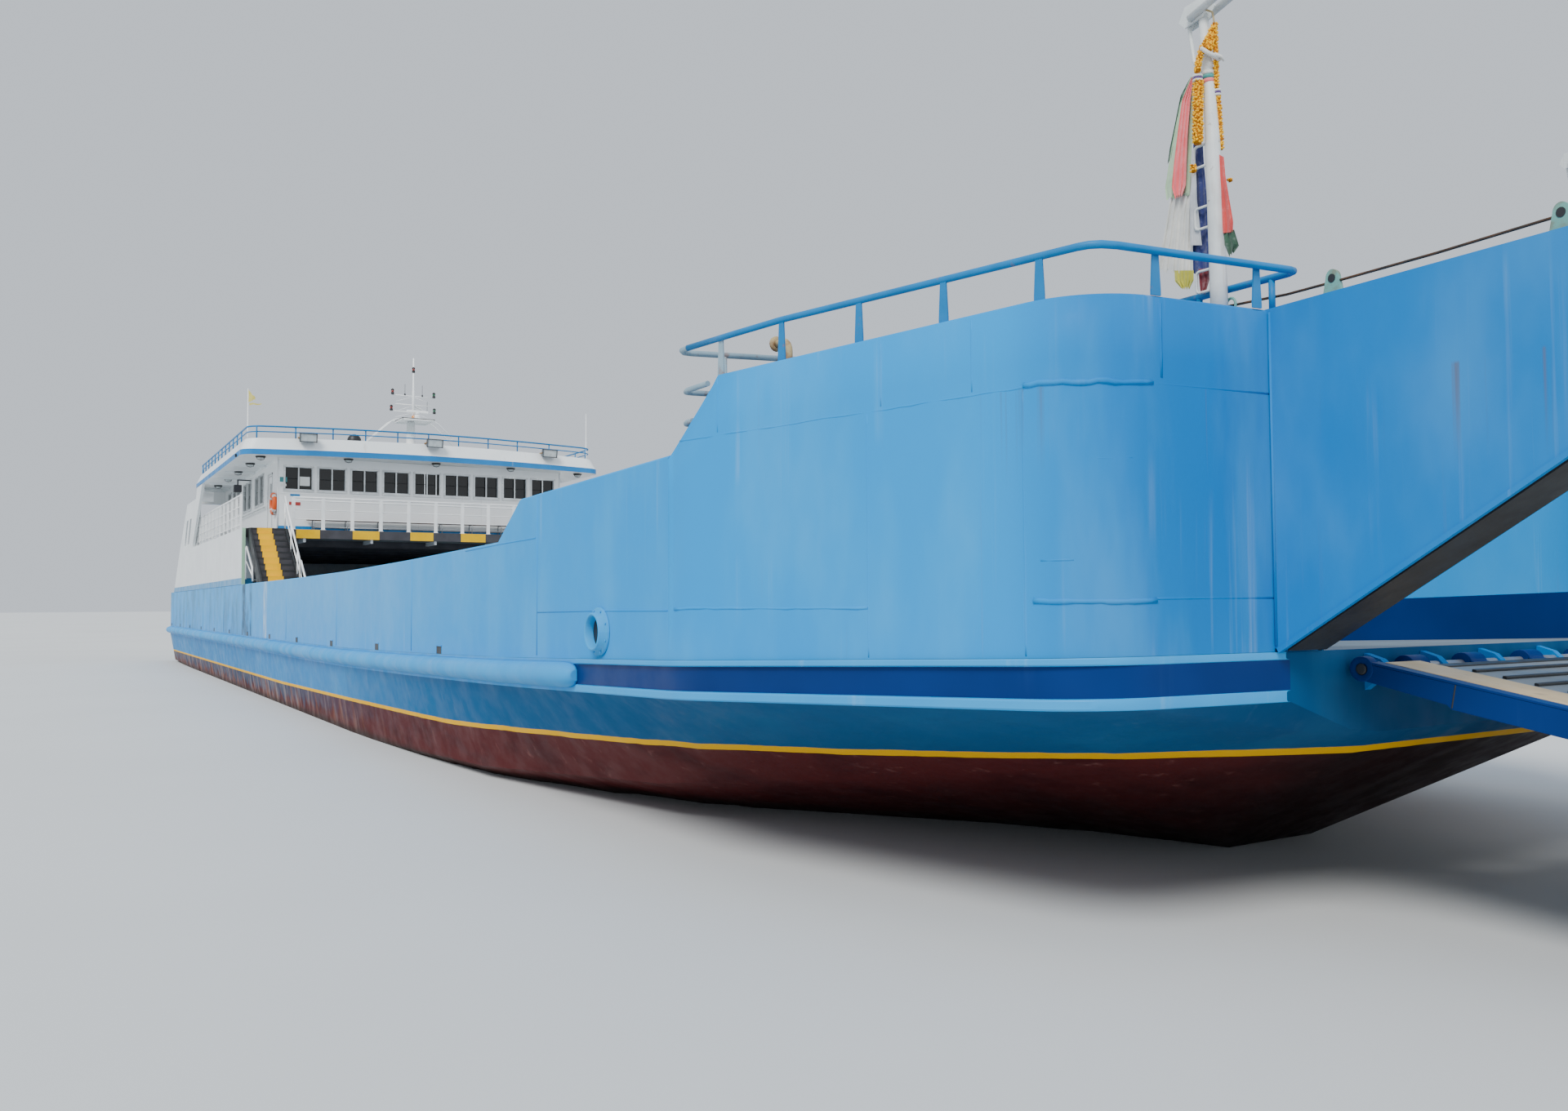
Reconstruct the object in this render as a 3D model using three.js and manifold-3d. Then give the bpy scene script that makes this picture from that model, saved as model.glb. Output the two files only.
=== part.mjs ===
// A bow-loading passenger and vehicle ferry, made as a 1:2 scale model.
// Every length here is the full-size ship's, in metres, and the last group turns them into model millimetres.
// +X points forward, +Y to port and +Z up. The origin is amidships, on the centre line at the waterline.
import * as THREE from "three";
import { mergeVertices } from "three/addons/utils/BufferGeometryUtils.js";
import Module from "manifold-3d";

const wasm = await Module();
wasm.setup();

// Scale and fits
const MM_PER_METRE = 500; // 1:2
const GAP = 0.0008; // between pieces that rest on each other, 0.4 mm on the model
const SUNK = 0.02; // how far fused pieces reach into each other
const RUNNING = 0.012; // round a piece that moves, 6 mm on the model

// Hull
const HALF_BEAM = 6.07;
const BOW_X = 30;
const STERN_X = -30;
const BAND = 0.38; // height of the dark band below the deck edge
const STRIP = 0.075; // height of each pale strip that borders the band
const FENDER_NOSE_X = 22.7;
const FENDER_RADIUS = 0.155;

// Bulwarks and bow boxes
const PLATE = 0.1;
const BULWARK = 1.57; // height above the deck along most of the side
const BOX_AFT_X = 25.06;
const BOX_WALL_X = 25.3;
const BOX_INNER_Y = 2.75;
const HORN_OUTER_Y = 3.35;
const HORN_TIP_X = 33.8;
const PLATFORM_Z = 4.0;
const HORN_DECK_Z = 4.84; // flat top of the horn, where the post stands
const BOW_RAIL_Z = 5.17;

// Ramp
const HINGE_X = 30.14;
const HINGE_Z = 2.05;
const RAMP_SLOPE = 10.4; // degrees below level, as it lies open
const RAMP_LENGTH = 6.9;
const RAMP_HALF = 2.5;
const HINGE_PIN = 0.035;
const LUG_RADIUS = 0.095;

// Accommodation
const DECK_FRONT_X = -4.9;
const DECK_AFT_X = -24.6;
const DECK_Z = 5.06; // passenger deck, top
const DECK_DEPTH = 0.28;
const FLOOR = DECK_Z + GAP;
const CABIN_FRONT_X = -6.08;
const CABIN_HALF = 4.85;
const AFT_HOUSE_X = -19.2;
const SOFFIT_Z = 7.45;
const CEILING = SOFFIT_Z - GAP;
const STRIPE_Z = 7.64;
const ROOF_Z = 8.06;
const ROOF_FRONT_X = -5.2;
const ROOF_RAIL_Z = 8.46;
const FASCIA_INSET = 0.17; // the fascia leans in by this much at its top
const WINDOW = { wide: 0.86, low: 6.44, high: 7.2 };
const DOOR = { wide: 0.8, low: 5.16, high: 7.0, thick: 0.05 };

// Underwater gear
const SHAFT_Y = 2.6;
const SHAFT_Z = -1.12;
const PROPELLER_X = -26.3;
const PROPELLER_RADIUS = 0.5;
const RUDDER_X = -27.5;

const COLOURS = {
  lightBlue: 0x3fa3d8,
  darkBlue: 0x0a3a8c,
  white: 0xe9efef,
  deckGrey: 0x7d8a90,
  yellow: 0xe0ac10,
  charcoal: 0x3d3d45,
  glass: 0x27313a,
  orange: 0xe2552a,
  bronze: 0xb08a45,
  antifouling: 0x5a2a2e,
  seatRed: 0x7a2f33,
  cloth: 0xd8667a,
  marigold: 0xf0a91c,
  black: 0x23252a,
  silver: 0xb9bec2,
  raft: 0xf2f2ee,
};

// Tables of x against a value, with straight runs between rows

const DECK = [[-30, 1.72], [5, 1.72], [10, 1.74], [15, 1.8], [20, 1.89], [25, 2.03], [30, 2.2]];
const CHINE_HALF = [
  [-30, 4.7], [-28.4, 5.85], [10, 5.87], [15, 5.8], [18, 5.68], [22.75, 5.05], [25.75, 4.15],
  [27.5, 3.6], [28.5, 3.3], [29.7, 2.6], [30, 2.45],
];
const CHINE_Z = [
  [-30, 0.12], [-22, 0], [10, -0.05], [15, 0.1], [18, 0.18], [22.75, 0.45], [25.75, 0.8],
  [27.5, 1.04], [28.5, 1.2], [29.7, 1.48], [30, 1.56],
];
const KEEL_HALF = [
  [-30, 4.2], [-28.4, 4.6], [10, 4.6], [15, 3.6], [18, 2.2], [21, 0.8], [23, 0.3], [25, 0.3],
  [27.45, 0.7], [30, 2.05],
];
const KEEL_Z = [
  [-30, -0.15], [-26, -0.6], [-22, -1.2], [-17, -1.6], [17, -1.6], [19, -1.45], [21, -1.2],
  [23, -0.83], [25, -0.42], [27.45, 0], [30, 1.52],
];
const HULL_STATIONS = [
  -30, -29.7, -29.2, -28.4, -26, -22, -17, 5, 10, 15, 18, 20, 21.5, 22.7, 22.75, 24, 25, 25.36,
  26.4, 27.45, 28.5, 29.21, 29.45, 29.63, 29.76, 29.83, 30,
];

function lookUp(table, x) {
  const i = table.findIndex((row) => x <= row[0]);
  if (i <= 0) return table[i < 0 ? table.length - 1 : 0][1];
  const [[x0, v0], [x1, v1]] = [table[i - 1], table[i]];
  return v0 + ((v1 - v0) * (x - x0)) / (x1 - x0);
}

const deckZ = (x) => lookUp(DECK, x);

// Plan of the side at deck level, as positive half breadths from stern to bow
const STERN_PLAN = [[-30, 4.9], [-29.7, 5.5], [-29.2, 5.9], [-28.4, HALF_BEAM]];
const BOW_PLAN = [
  [25.36, HALF_BEAM], [29.21, 5.18], [29.45, 5.08], [29.63, 4.93], [29.76, 4.75], [29.83, 4.49],
  [30, 3.2],
];
const SIDE_PLAN = [...STERN_PLAN, ...BOW_PLAN];
const sideHalf = (x) => lookUp(SIDE_PLAN, x);

// Solids and geometry

function solidOf(geometry) {
  const bare = geometry.clone();
  bare.deleteAttribute("normal");
  bare.deleteAttribute("uv");
  const merged = mergeVertices(bare, 1e-5);
  const mesh = new wasm.Mesh({
    numProp: 3,
    vertProperties: new Float32Array(merged.attributes.position.array),
    triVerts: new Uint32Array(merged.index.array),
  });
  return new wasm.Manifold(mesh);
}

function geometryOf(solid) {
  const mesh = solid.simplify(2e-5).getMesh();
  const geometry = new THREE.BufferGeometry();
  geometry.setAttribute("position", new THREE.BufferAttribute(new Float32Array(mesh.vertProperties), 3));
  geometry.setIndex(new THREE.BufferAttribute(new Uint32Array(mesh.triVerts), 1));
  geometry.computeVertexNormals();
  return geometry;
}

function fuse(geometries) {
  return geometries.flat(Infinity).map(solidOf).reduce((whole, piece) => whole.add(piece));
}

const fused = (...geometries) => geometryOf(fuse(geometries.flat()));

function carved(body, cutters) {
  return geometryOf(fuse([body]).subtract(fuse([cutters])));
}

// Basic shapes

function box([x0, x1], [y0, y1], [z0, z1]) {
  const geometry = new THREE.BoxGeometry(x1 - x0, y1 - y0, z1 - z0);
  return geometry.translate((x0 + x1) / 2, (y0 + y1) / 2, (z0 + z1) / 2);
}

function extruded(outline, depth, basis, origin) {
  const shape = new THREE.Shape(outline.map(([u, v]) => new THREE.Vector2(u, v)));
  const geometry = new THREE.ExtrudeGeometry(shape, { depth, bevelEnabled: false, steps: 1 });
  const [u, v, w] = basis.map((axis) => new THREE.Vector3(...axis));
  return geometry.applyMatrix4(new THREE.Matrix4().makeBasis(u, v, w)).translate(...origin);
}

// An outline in x and y, from one height to another
const plan = (outline, [z0, z1]) =>
  extruded(outline, z1 - z0, [[1, 0, 0], [0, 1, 0], [0, 0, 1]], [0, 0, z0]);
// An outline in x and z, from one y to another
const profile = (outline, [y0, y1]) =>
  extruded(outline, y1 - y0, [[1, 0, 0], [0, 0, 1], [0, -1, 0]], [0, y1, 0]);
// An outline in y and z, from one x to another
const frame = (outline, [x0, x1]) =>
  extruded(outline, x1 - x0, [[0, 1, 0], [0, 0, 1], [1, 0, 0]], [x0, 0, 0]);

// A plan outline whose underside and top follow two functions of x
function prism(outline, bottom, top) {
  const geometry = plan(outline, [0, 1]);
  const position = geometry.attributes.position;
  for (let i = 0; i < position.count; i++) {
    const x = position.getX(i);
    position.setZ(i, position.getZ(i) < 0.5 ? bottom(x) : top(x));
  }
  return geometry;
}

function bar(from, to, radius, sides = 6, endRadius = radius) {
  const start = new THREE.Vector3(...from);
  const end = new THREE.Vector3(...to);
  const along = end.clone().sub(start);
  const geometry = new THREE.CylinderGeometry(endRadius, radius, along.length(), sides);
  const up = new THREE.Vector3(0, 1, 0);
  geometry.applyQuaternion(new THREE.Quaternion().setFromUnitVectors(up, along.normalize()));
  return geometry.translate(...start.add(end).multiplyScalar(0.5).toArray());
}

// Tubes from point to point, each run reaching a radius past its corner
function pipe(points, radius, sides = 4) {
  return points.slice(1).map((to, i) => {
    const from = new THREE.Vector3(...points[i]);
    const end = new THREE.Vector3(...to);
    const reach = end.clone().sub(from).setLength(radius * 0.6);
    return bar(from.sub(reach).toArray(), end.add(reach).toArray(), radius, sides);
  });
}

const post = (x, y, [z0, z1], [across, along] = [0.06, 0.06]) =>
  box([x - along / 2, x + along / 2], [y - across / 2, y + across / 2], [z0, z1]);

// A closed body through rings of equal length, each ring an array of [x, y, z]
function loft(rings) {
  const count = rings[0].length;
  const index = [];
  for (let r = 0; r + 1 < rings.length; r++) {
    for (let i = 0; i < count; i++) {
      const a = r * count + i;
      const b = r * count + ((i + 1) % count);
      index.push(a, b, b + count, a, b + count, a + count);
    }
  }
  const cap = (ring, offset, flip) => {
    const [origin, second, last] = [ring[0], ring[1], ring[count - 1]].map((p) => new THREE.Vector3(...p));
    const u = second.clone().sub(origin).normalize();
    const centre = ring.reduce((sum, p) => sum.add(new THREE.Vector3(...p)), new THREE.Vector3());
    const w = u.clone().cross(centre.divideScalar(count).sub(origin)).normalize();
    if (w.lengthSq() < 0.5) w.copy(u.clone().cross(last.sub(origin)).normalize());
    const v = w.clone().cross(u);
    const flat = ring.map((p) => {
      const offsetPoint = new THREE.Vector3(...p).sub(origin);
      return new THREE.Vector2(offsetPoint.dot(u), offsetPoint.dot(v));
    });
    const turned = THREE.ShapeUtils.isClockWise(flat);
    for (const face of THREE.ShapeUtils.triangulateShape(flat, [])) {
      const [a, b, c] = face.map((k) => k + offset);
      if (turned !== flip) index.push(a, c, b);
      else index.push(a, b, c);
    }
  };
  cap(rings[0], 0, true);
  cap(rings[rings.length - 1], (rings.length - 1) * count, false);
  const geometry = new THREE.BufferGeometry();
  geometry.setAttribute("position", new THREE.Float32BufferAttribute(rings.flat(2), 3));
  geometry.setIndex(index);
  return facingOut(geometry);
}

// Turns a closed geometry's faces round if they point inwards
function facingOut(geometry) {
  const { array } = geometry.attributes.position;
  const index = geometry.index.array;
  const at = (k) => new THREE.Vector3().fromArray(array, index[k] * 3);
  let volume = 0;
  for (let i = 0; i < index.length; i += 3) volume += at(i).dot(at(i + 1).cross(at(i + 2)));
  if (volume < 0) for (let i = 0; i < index.length; i += 3) [index[i], index[i + 1]] = [index[i + 1], index[i]];
  return geometry;
}

// A section of [outward, z] points carried along a plan path, whose outward side is on its right
function sweep(path, sectionAt) {
  const normals = path.map((_, i) => {
    const [before, after] = [path[Math.max(i - 1, 0)], path[Math.min(i + 1, path.length - 1)]];
    const here = path[i];
    const unit = ([ax, ay], [bx, by]) => {
      const size = Math.hypot(bx - ax, by - ay) || 1;
      return [(by - ay) / size, -(bx - ax) / size];
    };
    const a = i > 0 ? unit(before, here) : unit(here, after);
    const b = i < path.length - 1 ? unit(here, after) : a;
    const [mx, my] = [a[0] + b[0], a[1] + b[1]];
    const size = Math.hypot(mx, my);
    const mitre = 2 / (size * size);
    return [mx * mitre, my * mitre];
  });
  return loft(
    path.map(([x, y], i) =>
      sectionAt(x, i).map(([out, z]) => [x + normals[i][0] * out, y + normals[i][1] * out, z]),
    ),
  );
}

// A plate standing along a plan path, its outer face on the path
function wallAlong(path, thickness, bottom, top) {
  return sweep(path, (x) => [
    [0, bottom(x)],
    [0, top(x)],
    [-thickness, top(x)],
    [-thickness, bottom(x)],
  ]);
}

const starboardPath = (rows) => rows.map(([x, half]) => [x, -half]);
const range = (count) => Array.from({ length: count }, (_, i) => i);

// Scene graph: starboard pieces are drawn once and mirrored to port

const ferry = new THREE.Group();
const starboard = new THREE.Group();
const port = new THREE.Group();
port.scale.y = -1;
ferry.add(starboard, port);

function piece(parent, name, geometry, colour, finish = {}) {
  const { roughness = 0.55, metalness = 0 } = finish;
  const material = new THREE.MeshStandardMaterial({ color: COLOURS[colour], roughness, metalness });
  const mesh = new THREE.Mesh(geometry, material);
  mesh.name = name;
  parent.add(mesh);
}

const single = (name, geometry, colour, finish) => piece(ferry, name, geometry, colour, finish);

function pair(name, geometry, colour, finish) {
  piece(starboard, `${name}_starboard`, geometry, colour, finish);
  piece(port, `${name}_port`, geometry, colour, finish);
}

// Hull: one decked shell with its band, chine, raked bow plate, skegs, hinge brackets and shaft struts

const HINGE_BRACKETS = [-2.2, -1.4, -0.5, 0.5, 1.4, 2.2];
const BRACKET_THICK = 0.08;
const SHAFT_RADIUS = 0.06;
const BEARING_RADIUS = 0.11;
const STOCK_RADIUS = 0.06;
const ROUND_FIT = 1.03; // a many-sided bore clears a turning many-sided shaft by this ratio

function hullRing(x) {
  const side = sideHalf(x);
  const deck = deckZ(x);
  const proud = x > FENDER_NOSE_X + 0.01 ? 0.045 : 0.004;
  const half = [
    [lookUp(KEEL_HALF, x), lookUp(KEEL_Z, x)],
    [lookUp(CHINE_HALF, x), lookUp(CHINE_Z, x)],
    [side, deck - BAND - 0.005],
    [side + proud, deck - BAND],
    [side + proud, deck - BAND + STRIP],
    [side, deck - BAND + STRIP + 0.005],
    [side, deck - STRIP - 0.005],
    [side + proud, deck - STRIP],
    [side + proud, deck],
  ];
  const right = half.map(([y, z]) => [x, -y, z]);
  const left = half.map(([y, z]) => [x, y, z]).reverse();
  return [...right, ...left];
}

function hull() {
  const shell = loft(HULL_STATIONS.map(hullRing));
  const brackets = HINGE_BRACKETS.map((y) => {
    const outline = [
      [BOW_X - SUNK, HINGE_Z - 0.2], [HINGE_X, HINGE_Z - 0.07], [HINGE_X + 0.07, HINGE_Z],
      [HINGE_X, HINGE_Z + 0.07], [BOW_X - SUNK, HINGE_Z + 0.12],
    ];
    return profile(outline, [y - BRACKET_THICK / 2, y + BRACKET_THICK / 2]);
  });
  const reach = RAMP_HALF - 0.02;
  const rod = bar([HINGE_X, -reach, HINGE_Z], [HINGE_X, reach, HINGE_Z], HINGE_PIN, 12);
  const gear = [-1, 1].flatMap((hand) => {
    const y = hand * SHAFT_Y;
    const bearingFront = PROPELLER_X + 0.35;
    const strut = [
      [PROPELLER_X + 0.45, SHAFT_Z], [PROPELLER_X + 1.0, SHAFT_Z], [PROPELLER_X + 1.5, -0.5],
      [PROPELLER_X + 0.6, -0.5],
    ];
    return [
      bar([PROPELLER_X + 0.22, y, SHAFT_Z], [PROPELLER_X + 1.15, y, SHAFT_Z], BEARING_RADIUS, 12),
      bar([bearingFront, y, SHAFT_Z], [-19.4, y, SHAFT_Z + 0.12], SHAFT_RADIUS, 10),
      profile(strut, [y - 0.05, y + 0.05]),
      bar([RUDDER_X, y, -0.62], [RUDDER_X, y, -0.2], BEARING_RADIUS, 12),
    ];
  });
  const bores = [-1, 1].flatMap((hand) => {
    const y = hand * SHAFT_Y;
    return [
      bar([PROPELLER_X, y, SHAFT_Z], [PROPELLER_X + 0.7, y, SHAFT_Z], SHAFT_RADIUS * ROUND_FIT, 16),
      bar([RUDDER_X, y, -1], [RUDDER_X, y, 0.4], STOCK_RADIUS * ROUND_FIT, 16),
    ];
  });
  return carved([shell, ...brackets, rod, ...gear], bores);
}
single("hull", hull(), "lightBlue");

// Half-round fender along each side and round the stern

function fender() {
  const nose = [[22.36, 1], [22.55, 0.93], [22.65, 0.7], [22.7, 0.42]];
  const stern = [[-29.985, 4.96], [-29.7, 5.5], [-29.2, 5.9], [-28.4, HALF_BEAM]];
  const middle = [5, 10, 15, 20].map((x) => [x, HALF_BEAM]);
  const rows = [...stern, ...middle, ...nose.map(([x]) => [x, HALF_BEAM])];
  const size = (i) => (i < rows.length - nose.length ? 1 : nose[i - rows.length + nose.length][1]);
  const angles = range(7).map((k) => (-90 + k * 30) * (Math.PI / 180));
  const seat = 0.004 + GAP;
  return sweep(starboardPath(rows), (x, i) =>
    angles.map((a) => [
      seat + Math.cos(a) * FENDER_RADIUS * size(i) * 1.2 + 0.001,
      deckZ(x) - BAND / 2 + Math.sin(a) * FENDER_RADIUS * size(i),
    ]),
  );
}
pair("fender", fender(), "lightBlue");

// Bulwarks with their freeing ports, stays and one mooring fairlead each

const FAIRLEAD = { x: 23.35, z: 2.29, wide: 0.43, high: 0.39, rim: 0.07 };
const bulwarkTop = (x) =>
  x <= 19.8 ? deckZ(x) + BULWARK : lookUp([[19.8, 3.455], [20.7, 3.98], [25.06, 4.08]], x);

function oval(x, z, wide, high, sides = 16) {
  return range(sides).map((i) => {
    const a = (i / sides) * 2 * Math.PI;
    return [x + (wide / 2) * Math.cos(a), z + (high / 2) * Math.sin(a)];
  });
}

function bulwark() {
  const xs = [-28.35, 5, 10, 15, 19.8, 20, 20.7, 25, BOX_AFT_X - GAP];
  const wall = wallAlong(xs.map((x) => [x, -HALF_BEAM]), PLATE, (x) => deckZ(x) + GAP, bulwarkTop);
  const inner = -HALF_BEAM + PLATE;
  const besideStairs = (x) => x > -5 && x < -1;
  const places = range(21).map((i) => 16 - 2 * i).filter((x) => !besideStairs(x));
  const stays = places.map((x) => {
    const foot = deckZ(x) + 2 * GAP;
    const head = bulwarkTop(x) - 0.15;
    const outline = [[inner - SUNK, foot], [inner + 0.42, foot], [inner + 0.42, foot + 0.12], [inner, head], [inner - SUNK, head]];
    return frame(outline, [x - 0.03, x + 0.03]);
  });
  const flange = profile(
    oval(FAIRLEAD.x, FAIRLEAD.z, FAIRLEAD.wide + 2 * FAIRLEAD.rim, FAIRLEAD.high + 2 * FAIRLEAD.rim),
    [-HALF_BEAM - 0.06, -HALF_BEAM + PLATE + 0.04],
  );
  const hole = profile(oval(FAIRLEAD.x, FAIRLEAD.z, FAIRLEAD.wide, FAIRLEAD.high), [-6.4, -5.7]);
  const ports = range(12).map((i) => {
    const x = 17 - 4.08 * i;
    const low = deckZ(x) + 0.06;
    return box([x - 0.13, x + 0.13], [-6.3, -5.9], [low, low + 0.1]);
  });
  return carved([wall, ...stays, flange], [hole, ...ports]);
}
pair("bulwark", bulwark(), "lightBlue");

function sternBulwark() {
  const rows = [...STERN_PLAN].reverse();
  const right = rows.map(([x, half], i) => [i === 0 ? x - GAP : x, -half]);
  const left = [...right].reverse().map(([x, y]) => [x, -y]);
  const path = [...right, ...left].reverse();
  const wall = wallAlong(path, PLATE, (x) => deckZ(x) + GAP, () => deckZ(STERN_X) + BULWARK);
  const gates = [-1, 1].map((hand) => box([-30.3, -29.7], [hand * 3 - 0.35, hand * 3 + 0.35], [2.0, 2.6]));
  return carved(wall, gates);
}
single("stern_bulwark", sternBulwark(), "lightBlue");

// Ladder up each bow box's after wall, on brackets

function bowLadder() {
  const x = BOX_WALL_X - 0.16;
  const stiles = [-4.4, -3.96].map((y) => post(x, y, [deckZ(x) + 0.05, PLATFORM_Z + 0.9], [0.04, 0.05]));
  const rungs = range(9).map((i) => box([x - 0.015, x + 0.015], [-4.4, -3.96], [2.32 + 0.3 * i, 2.35 + 0.3 * i]));
  const brackets = [-4.4, -3.96].flatMap((y) =>
    [2.6, 3.8].map((z) => box([x, BOX_WALL_X + SUNK], [y - 0.02, y + 0.02], [z, z + 0.05])),
  );
  return [stiles, rungs, brackets];
}

// Gooseneck vent on each bow platform

function gooseneck() {
  const [x, y, radius, bend] = [26.2, -5.35, 0.04, 0.11];
  const line = [[x, PLATFORM_Z - SUNK], ...range(5).map((i) => {
    const a = (i / 4) * Math.PI;
    return [x - bend + bend * Math.cos(a), 5.05 + bend * Math.sin(a)];
  }), [x - 2 * bend, 4.95]];
  const rings = line.map(([cx, cz], i) => {
    const [ax, az] = line[Math.max(i - 1, 0)];
    const [bx, bz] = line[Math.min(i + 1, line.length - 1)];
    const size = Math.hypot(bx - ax, bz - az);
    const [tx, tz] = [(bx - ax) / size, (bz - az) / size];
    const r = i === line.length - 1 ? radius * 1.6 : radius;
    return range(8).map((k) => {
      const a = (k / 8) * 2 * Math.PI;
      return [cx - tz * r * Math.cos(a), y + r * Math.sin(a), cz + tx * r * Math.cos(a)];
    });
  });
  return loft(rings);
}

// Bow boxes: the raised side boxes with their platform, breast wall and the horn beside the ramp

function boxTop(x) {
  return lookUp([[BOX_AFT_X, 4.08], [25.81, 4.77], [26.64, 4.785], [30, 4.845]], x);
}

function bowBox() {
  const front = [[29.83, 4.49], [29.98, HORN_OUTER_Y]];
  const corner = BOW_PLAN.slice(1, -2);
  const rows = [
    [BOX_AFT_X, HALF_BEAM], BOW_PLAN[0], [25.81, sideHalf(25.81)], [26.64, sideHalf(26.64)], ...corner, ...front,
  ];
  const floor = (x) => deckZ(x) + GAP;
  const wall = wallAlong(starboardPath(rows), PLATE, floor, boxTop);
  const inset = 0.05;
  const outline = [
    [BOX_WALL_X, -BOX_INNER_Y],
    [BOX_WALL_X, -HALF_BEAM + inset],
    ...starboardPath(rows.slice(1).map(([x, half]) => [x - inset / 2, half - inset])),
    [29.95, -HORN_OUTER_Y + 0.04],
    [29.95, -BOX_INNER_Y],
  ];
  const body = prism(outline, floor, () => PLATFORM_Z);
  const horn = profile(
    [
      [29.6, 2.4], [29.9, 2.23], [30, 2.23], [HORN_TIP_X - 0.25, 4.42], [HORN_TIP_X, 4.62],
      [HORN_TIP_X, 4.9], [HORN_TIP_X - 0.08, 4.96], [30, 4.85], [29.6, HORN_DECK_Z], [28.9, HORN_DECK_Z], [28.7, 3.9], [29.6, 3.9],
    ],
    [-HORN_OUTER_Y, -BOX_INNER_Y],
  );
  const eyes = [30.34, 31.96, 33.5].map((x) => {
    const z = 4.85 + 0.03 * (x - 30);
    const outline = [[x - 0.1, z - 0.03], [x + 0.1, z - 0.03], [x + 0.06, z + 0.25], [x - 0.06, z + 0.25]];
    return profile(outline, [-3.09, -3.01]);
  });
  const kerb = box([BOX_WALL_X, 28.8], [-BOX_INNER_Y - 0.06, -BOX_INNER_Y], [PLATFORM_Z - SUNK, PLATFORM_Z + 0.12]);
  return fused(wall, body, horn, eyes, kerb, bowLadder(), gooseneck());
}
pair("bow_box", bowBox(), "lightBlue");

function bowRail() {
  const innerY = -3.07;
  const path = [
    [25.36, -4.75], [25.12, -5.9], [25.34, -5.99], [29.62, -5.02], [29.74, -4.95], [29.8, -4.8],
    [29.97, -3.3], [29.96, -3.14], [29.88, innerY], [25.36, innerY],
  ];
  const tube = range(6).map((k) => [Math.cos((k * Math.PI) / 3) * 0.033, Math.sin((k * Math.PI) / 3) * 0.033]);
  const railAt = (points, z) => sweep(points, () => tube.map(([out, up]) => [out, z + up]));
  const shellFoot = (x) => boxTop(x) + GAP + 0.001;
  const boxFoot = PLATFORM_Z + GAP;
  const posts = [
    ...[[25.82, -5.9], [26.64, -5.72], [27.56, -5.51], [28.44, -5.31]].map(([x, y]) => post(x, y, [shellFoot(x), BOW_RAIL_Z], [0.06, 0.09])),
    ...[[29.31, -5.08], [29.84, -4.44], [29.95, -3.45]].map(([x, y]) => post(x, y, [shellFoot(x), BOW_RAIL_Z], [0.08, 0.05])),
    ...[28.3, 27.32, 26.34, 25.37].map((x) => post(x, innerY, [boxFoot, BOW_RAIL_Z])),
    post(29.12, innerY, [HORN_DECK_Z + GAP, BOW_RAIL_Z]),
    post(29.82, innerY, [HORN_DECK_Z + 0.008, BOW_RAIL_Z]),
    post(25.37, -4.76, [boxFoot, BOW_RAIL_Z]),
    post(25.2, -5.5, [4.38, BOW_RAIL_Z]),
  ];
  const lower = [[4.4, 25.34], [4.72, 25.66]].flatMap(([z, endX]) => [
    railAt([[25.365, -4.76], [25.12, -5.9], [endX, -5.93]], z),
    box([25.38, 28.3], [innerY - 0.02, innerY + 0.02], [z - 0.02, z + 0.02]),
  ]);
  return fused(railAt(path, BOW_RAIL_Z), posts, lower);
}
pair("bow_rail", bowRail(), "lightBlue");

// Post on each bow box, with step handles and a forward lamp arm

const POST = { x: 29.35, y: -3.18, half: 0.067, top: 7.82 };

function bowPost() {
  const { x, y, half, top } = POST;
  const column = box([x - half, x + half], [y - half, y + half], [HORN_DECK_Z + GAP, top]);
  const back = post(x - 0.19, y, [6.88, top], [0.06, 0.05]);
  const foot = box([x - 0.14, x + 0.14], [y - 0.1, y + 0.1], [HORN_DECK_Z + GAP, 4.89]);
  const handles = [5.26, 5.8, 6.32].map((z) => {
    const out = x - half - 0.13;
    return pipe([[x - half, y, z + 0.09], [out, y, z + 0.09], [out, y, z - 0.09], [x - half, y, z - 0.09]], 0.014);
  });
  const arms = [-0.07, 0.07].map((side) => bar([x - 0.2, y + side, top - 0.1], [x + 1.7, y + side, top + 0.42], 0.04, 6));
  const brace = bar([x - 0.19, y, 6.93], [x, y, 6.84], 0.03);
  const lampBase = box([x + 1.5, x + 1.72], [y - 0.12, y + 0.12], [top + 0.3, top + 0.4]);
  const lamp = box([x + 1.4, x + 1.8], [y - 0.2, y + 0.2], [top + 0.12, top + 0.33]);
  return fused(column, back, foot, handles, arms, brace, lampBase, lamp);
}
pair("bow_post", bowPost(), "white");

// Soft pieces hung on the starboard post: a flower garland with its tail, and ribbons of cloth

function garland() {
  const { x, y, half } = POST;
  const front = x + half + GAP;
  const back = x - half - GAP;
  const loop = [
    [front, 6.21], [front + 0.1, 6.21], [front + 0.12, 7.03], [front + 0.02, 7.43], [x - 0.04, 7.13],
    [back - 0.17, 6.79], [back - 0.2, 6.07], [back - 0.02, 6.07], [back - 0.02, 6.84], [front, 7.17],
  ];
  const side = y - half - GAP;
  const tail = [[front, 6.25], [front + 0.06, 6.25], [front + 0.22, 5.5], [front + 0.12, 5.05], [front + 0.02, 5.3]];
  return fused(
    box([front, front + 0.1], [y - 0.06, y + 0.05], [6.21, 7.13]),
    box([back - 0.17, back - 0.03], [y - 0.06, y + 0.05], [6.56, 6.85]),
    profile(loop, [side - 0.06, side]),
    box([front + 0.02, front + 0.1], [side - 0.05, y], [6.84, 7.13]),
    box([back - 0.15, back - 0.04], [side - 0.05, y], [6.6, 6.84]),
    profile(tail, [y - 0.05, y + 0.05]),
  );
}
single("garland", garland(), "marigold", { roughness: 0.9 });

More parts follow.
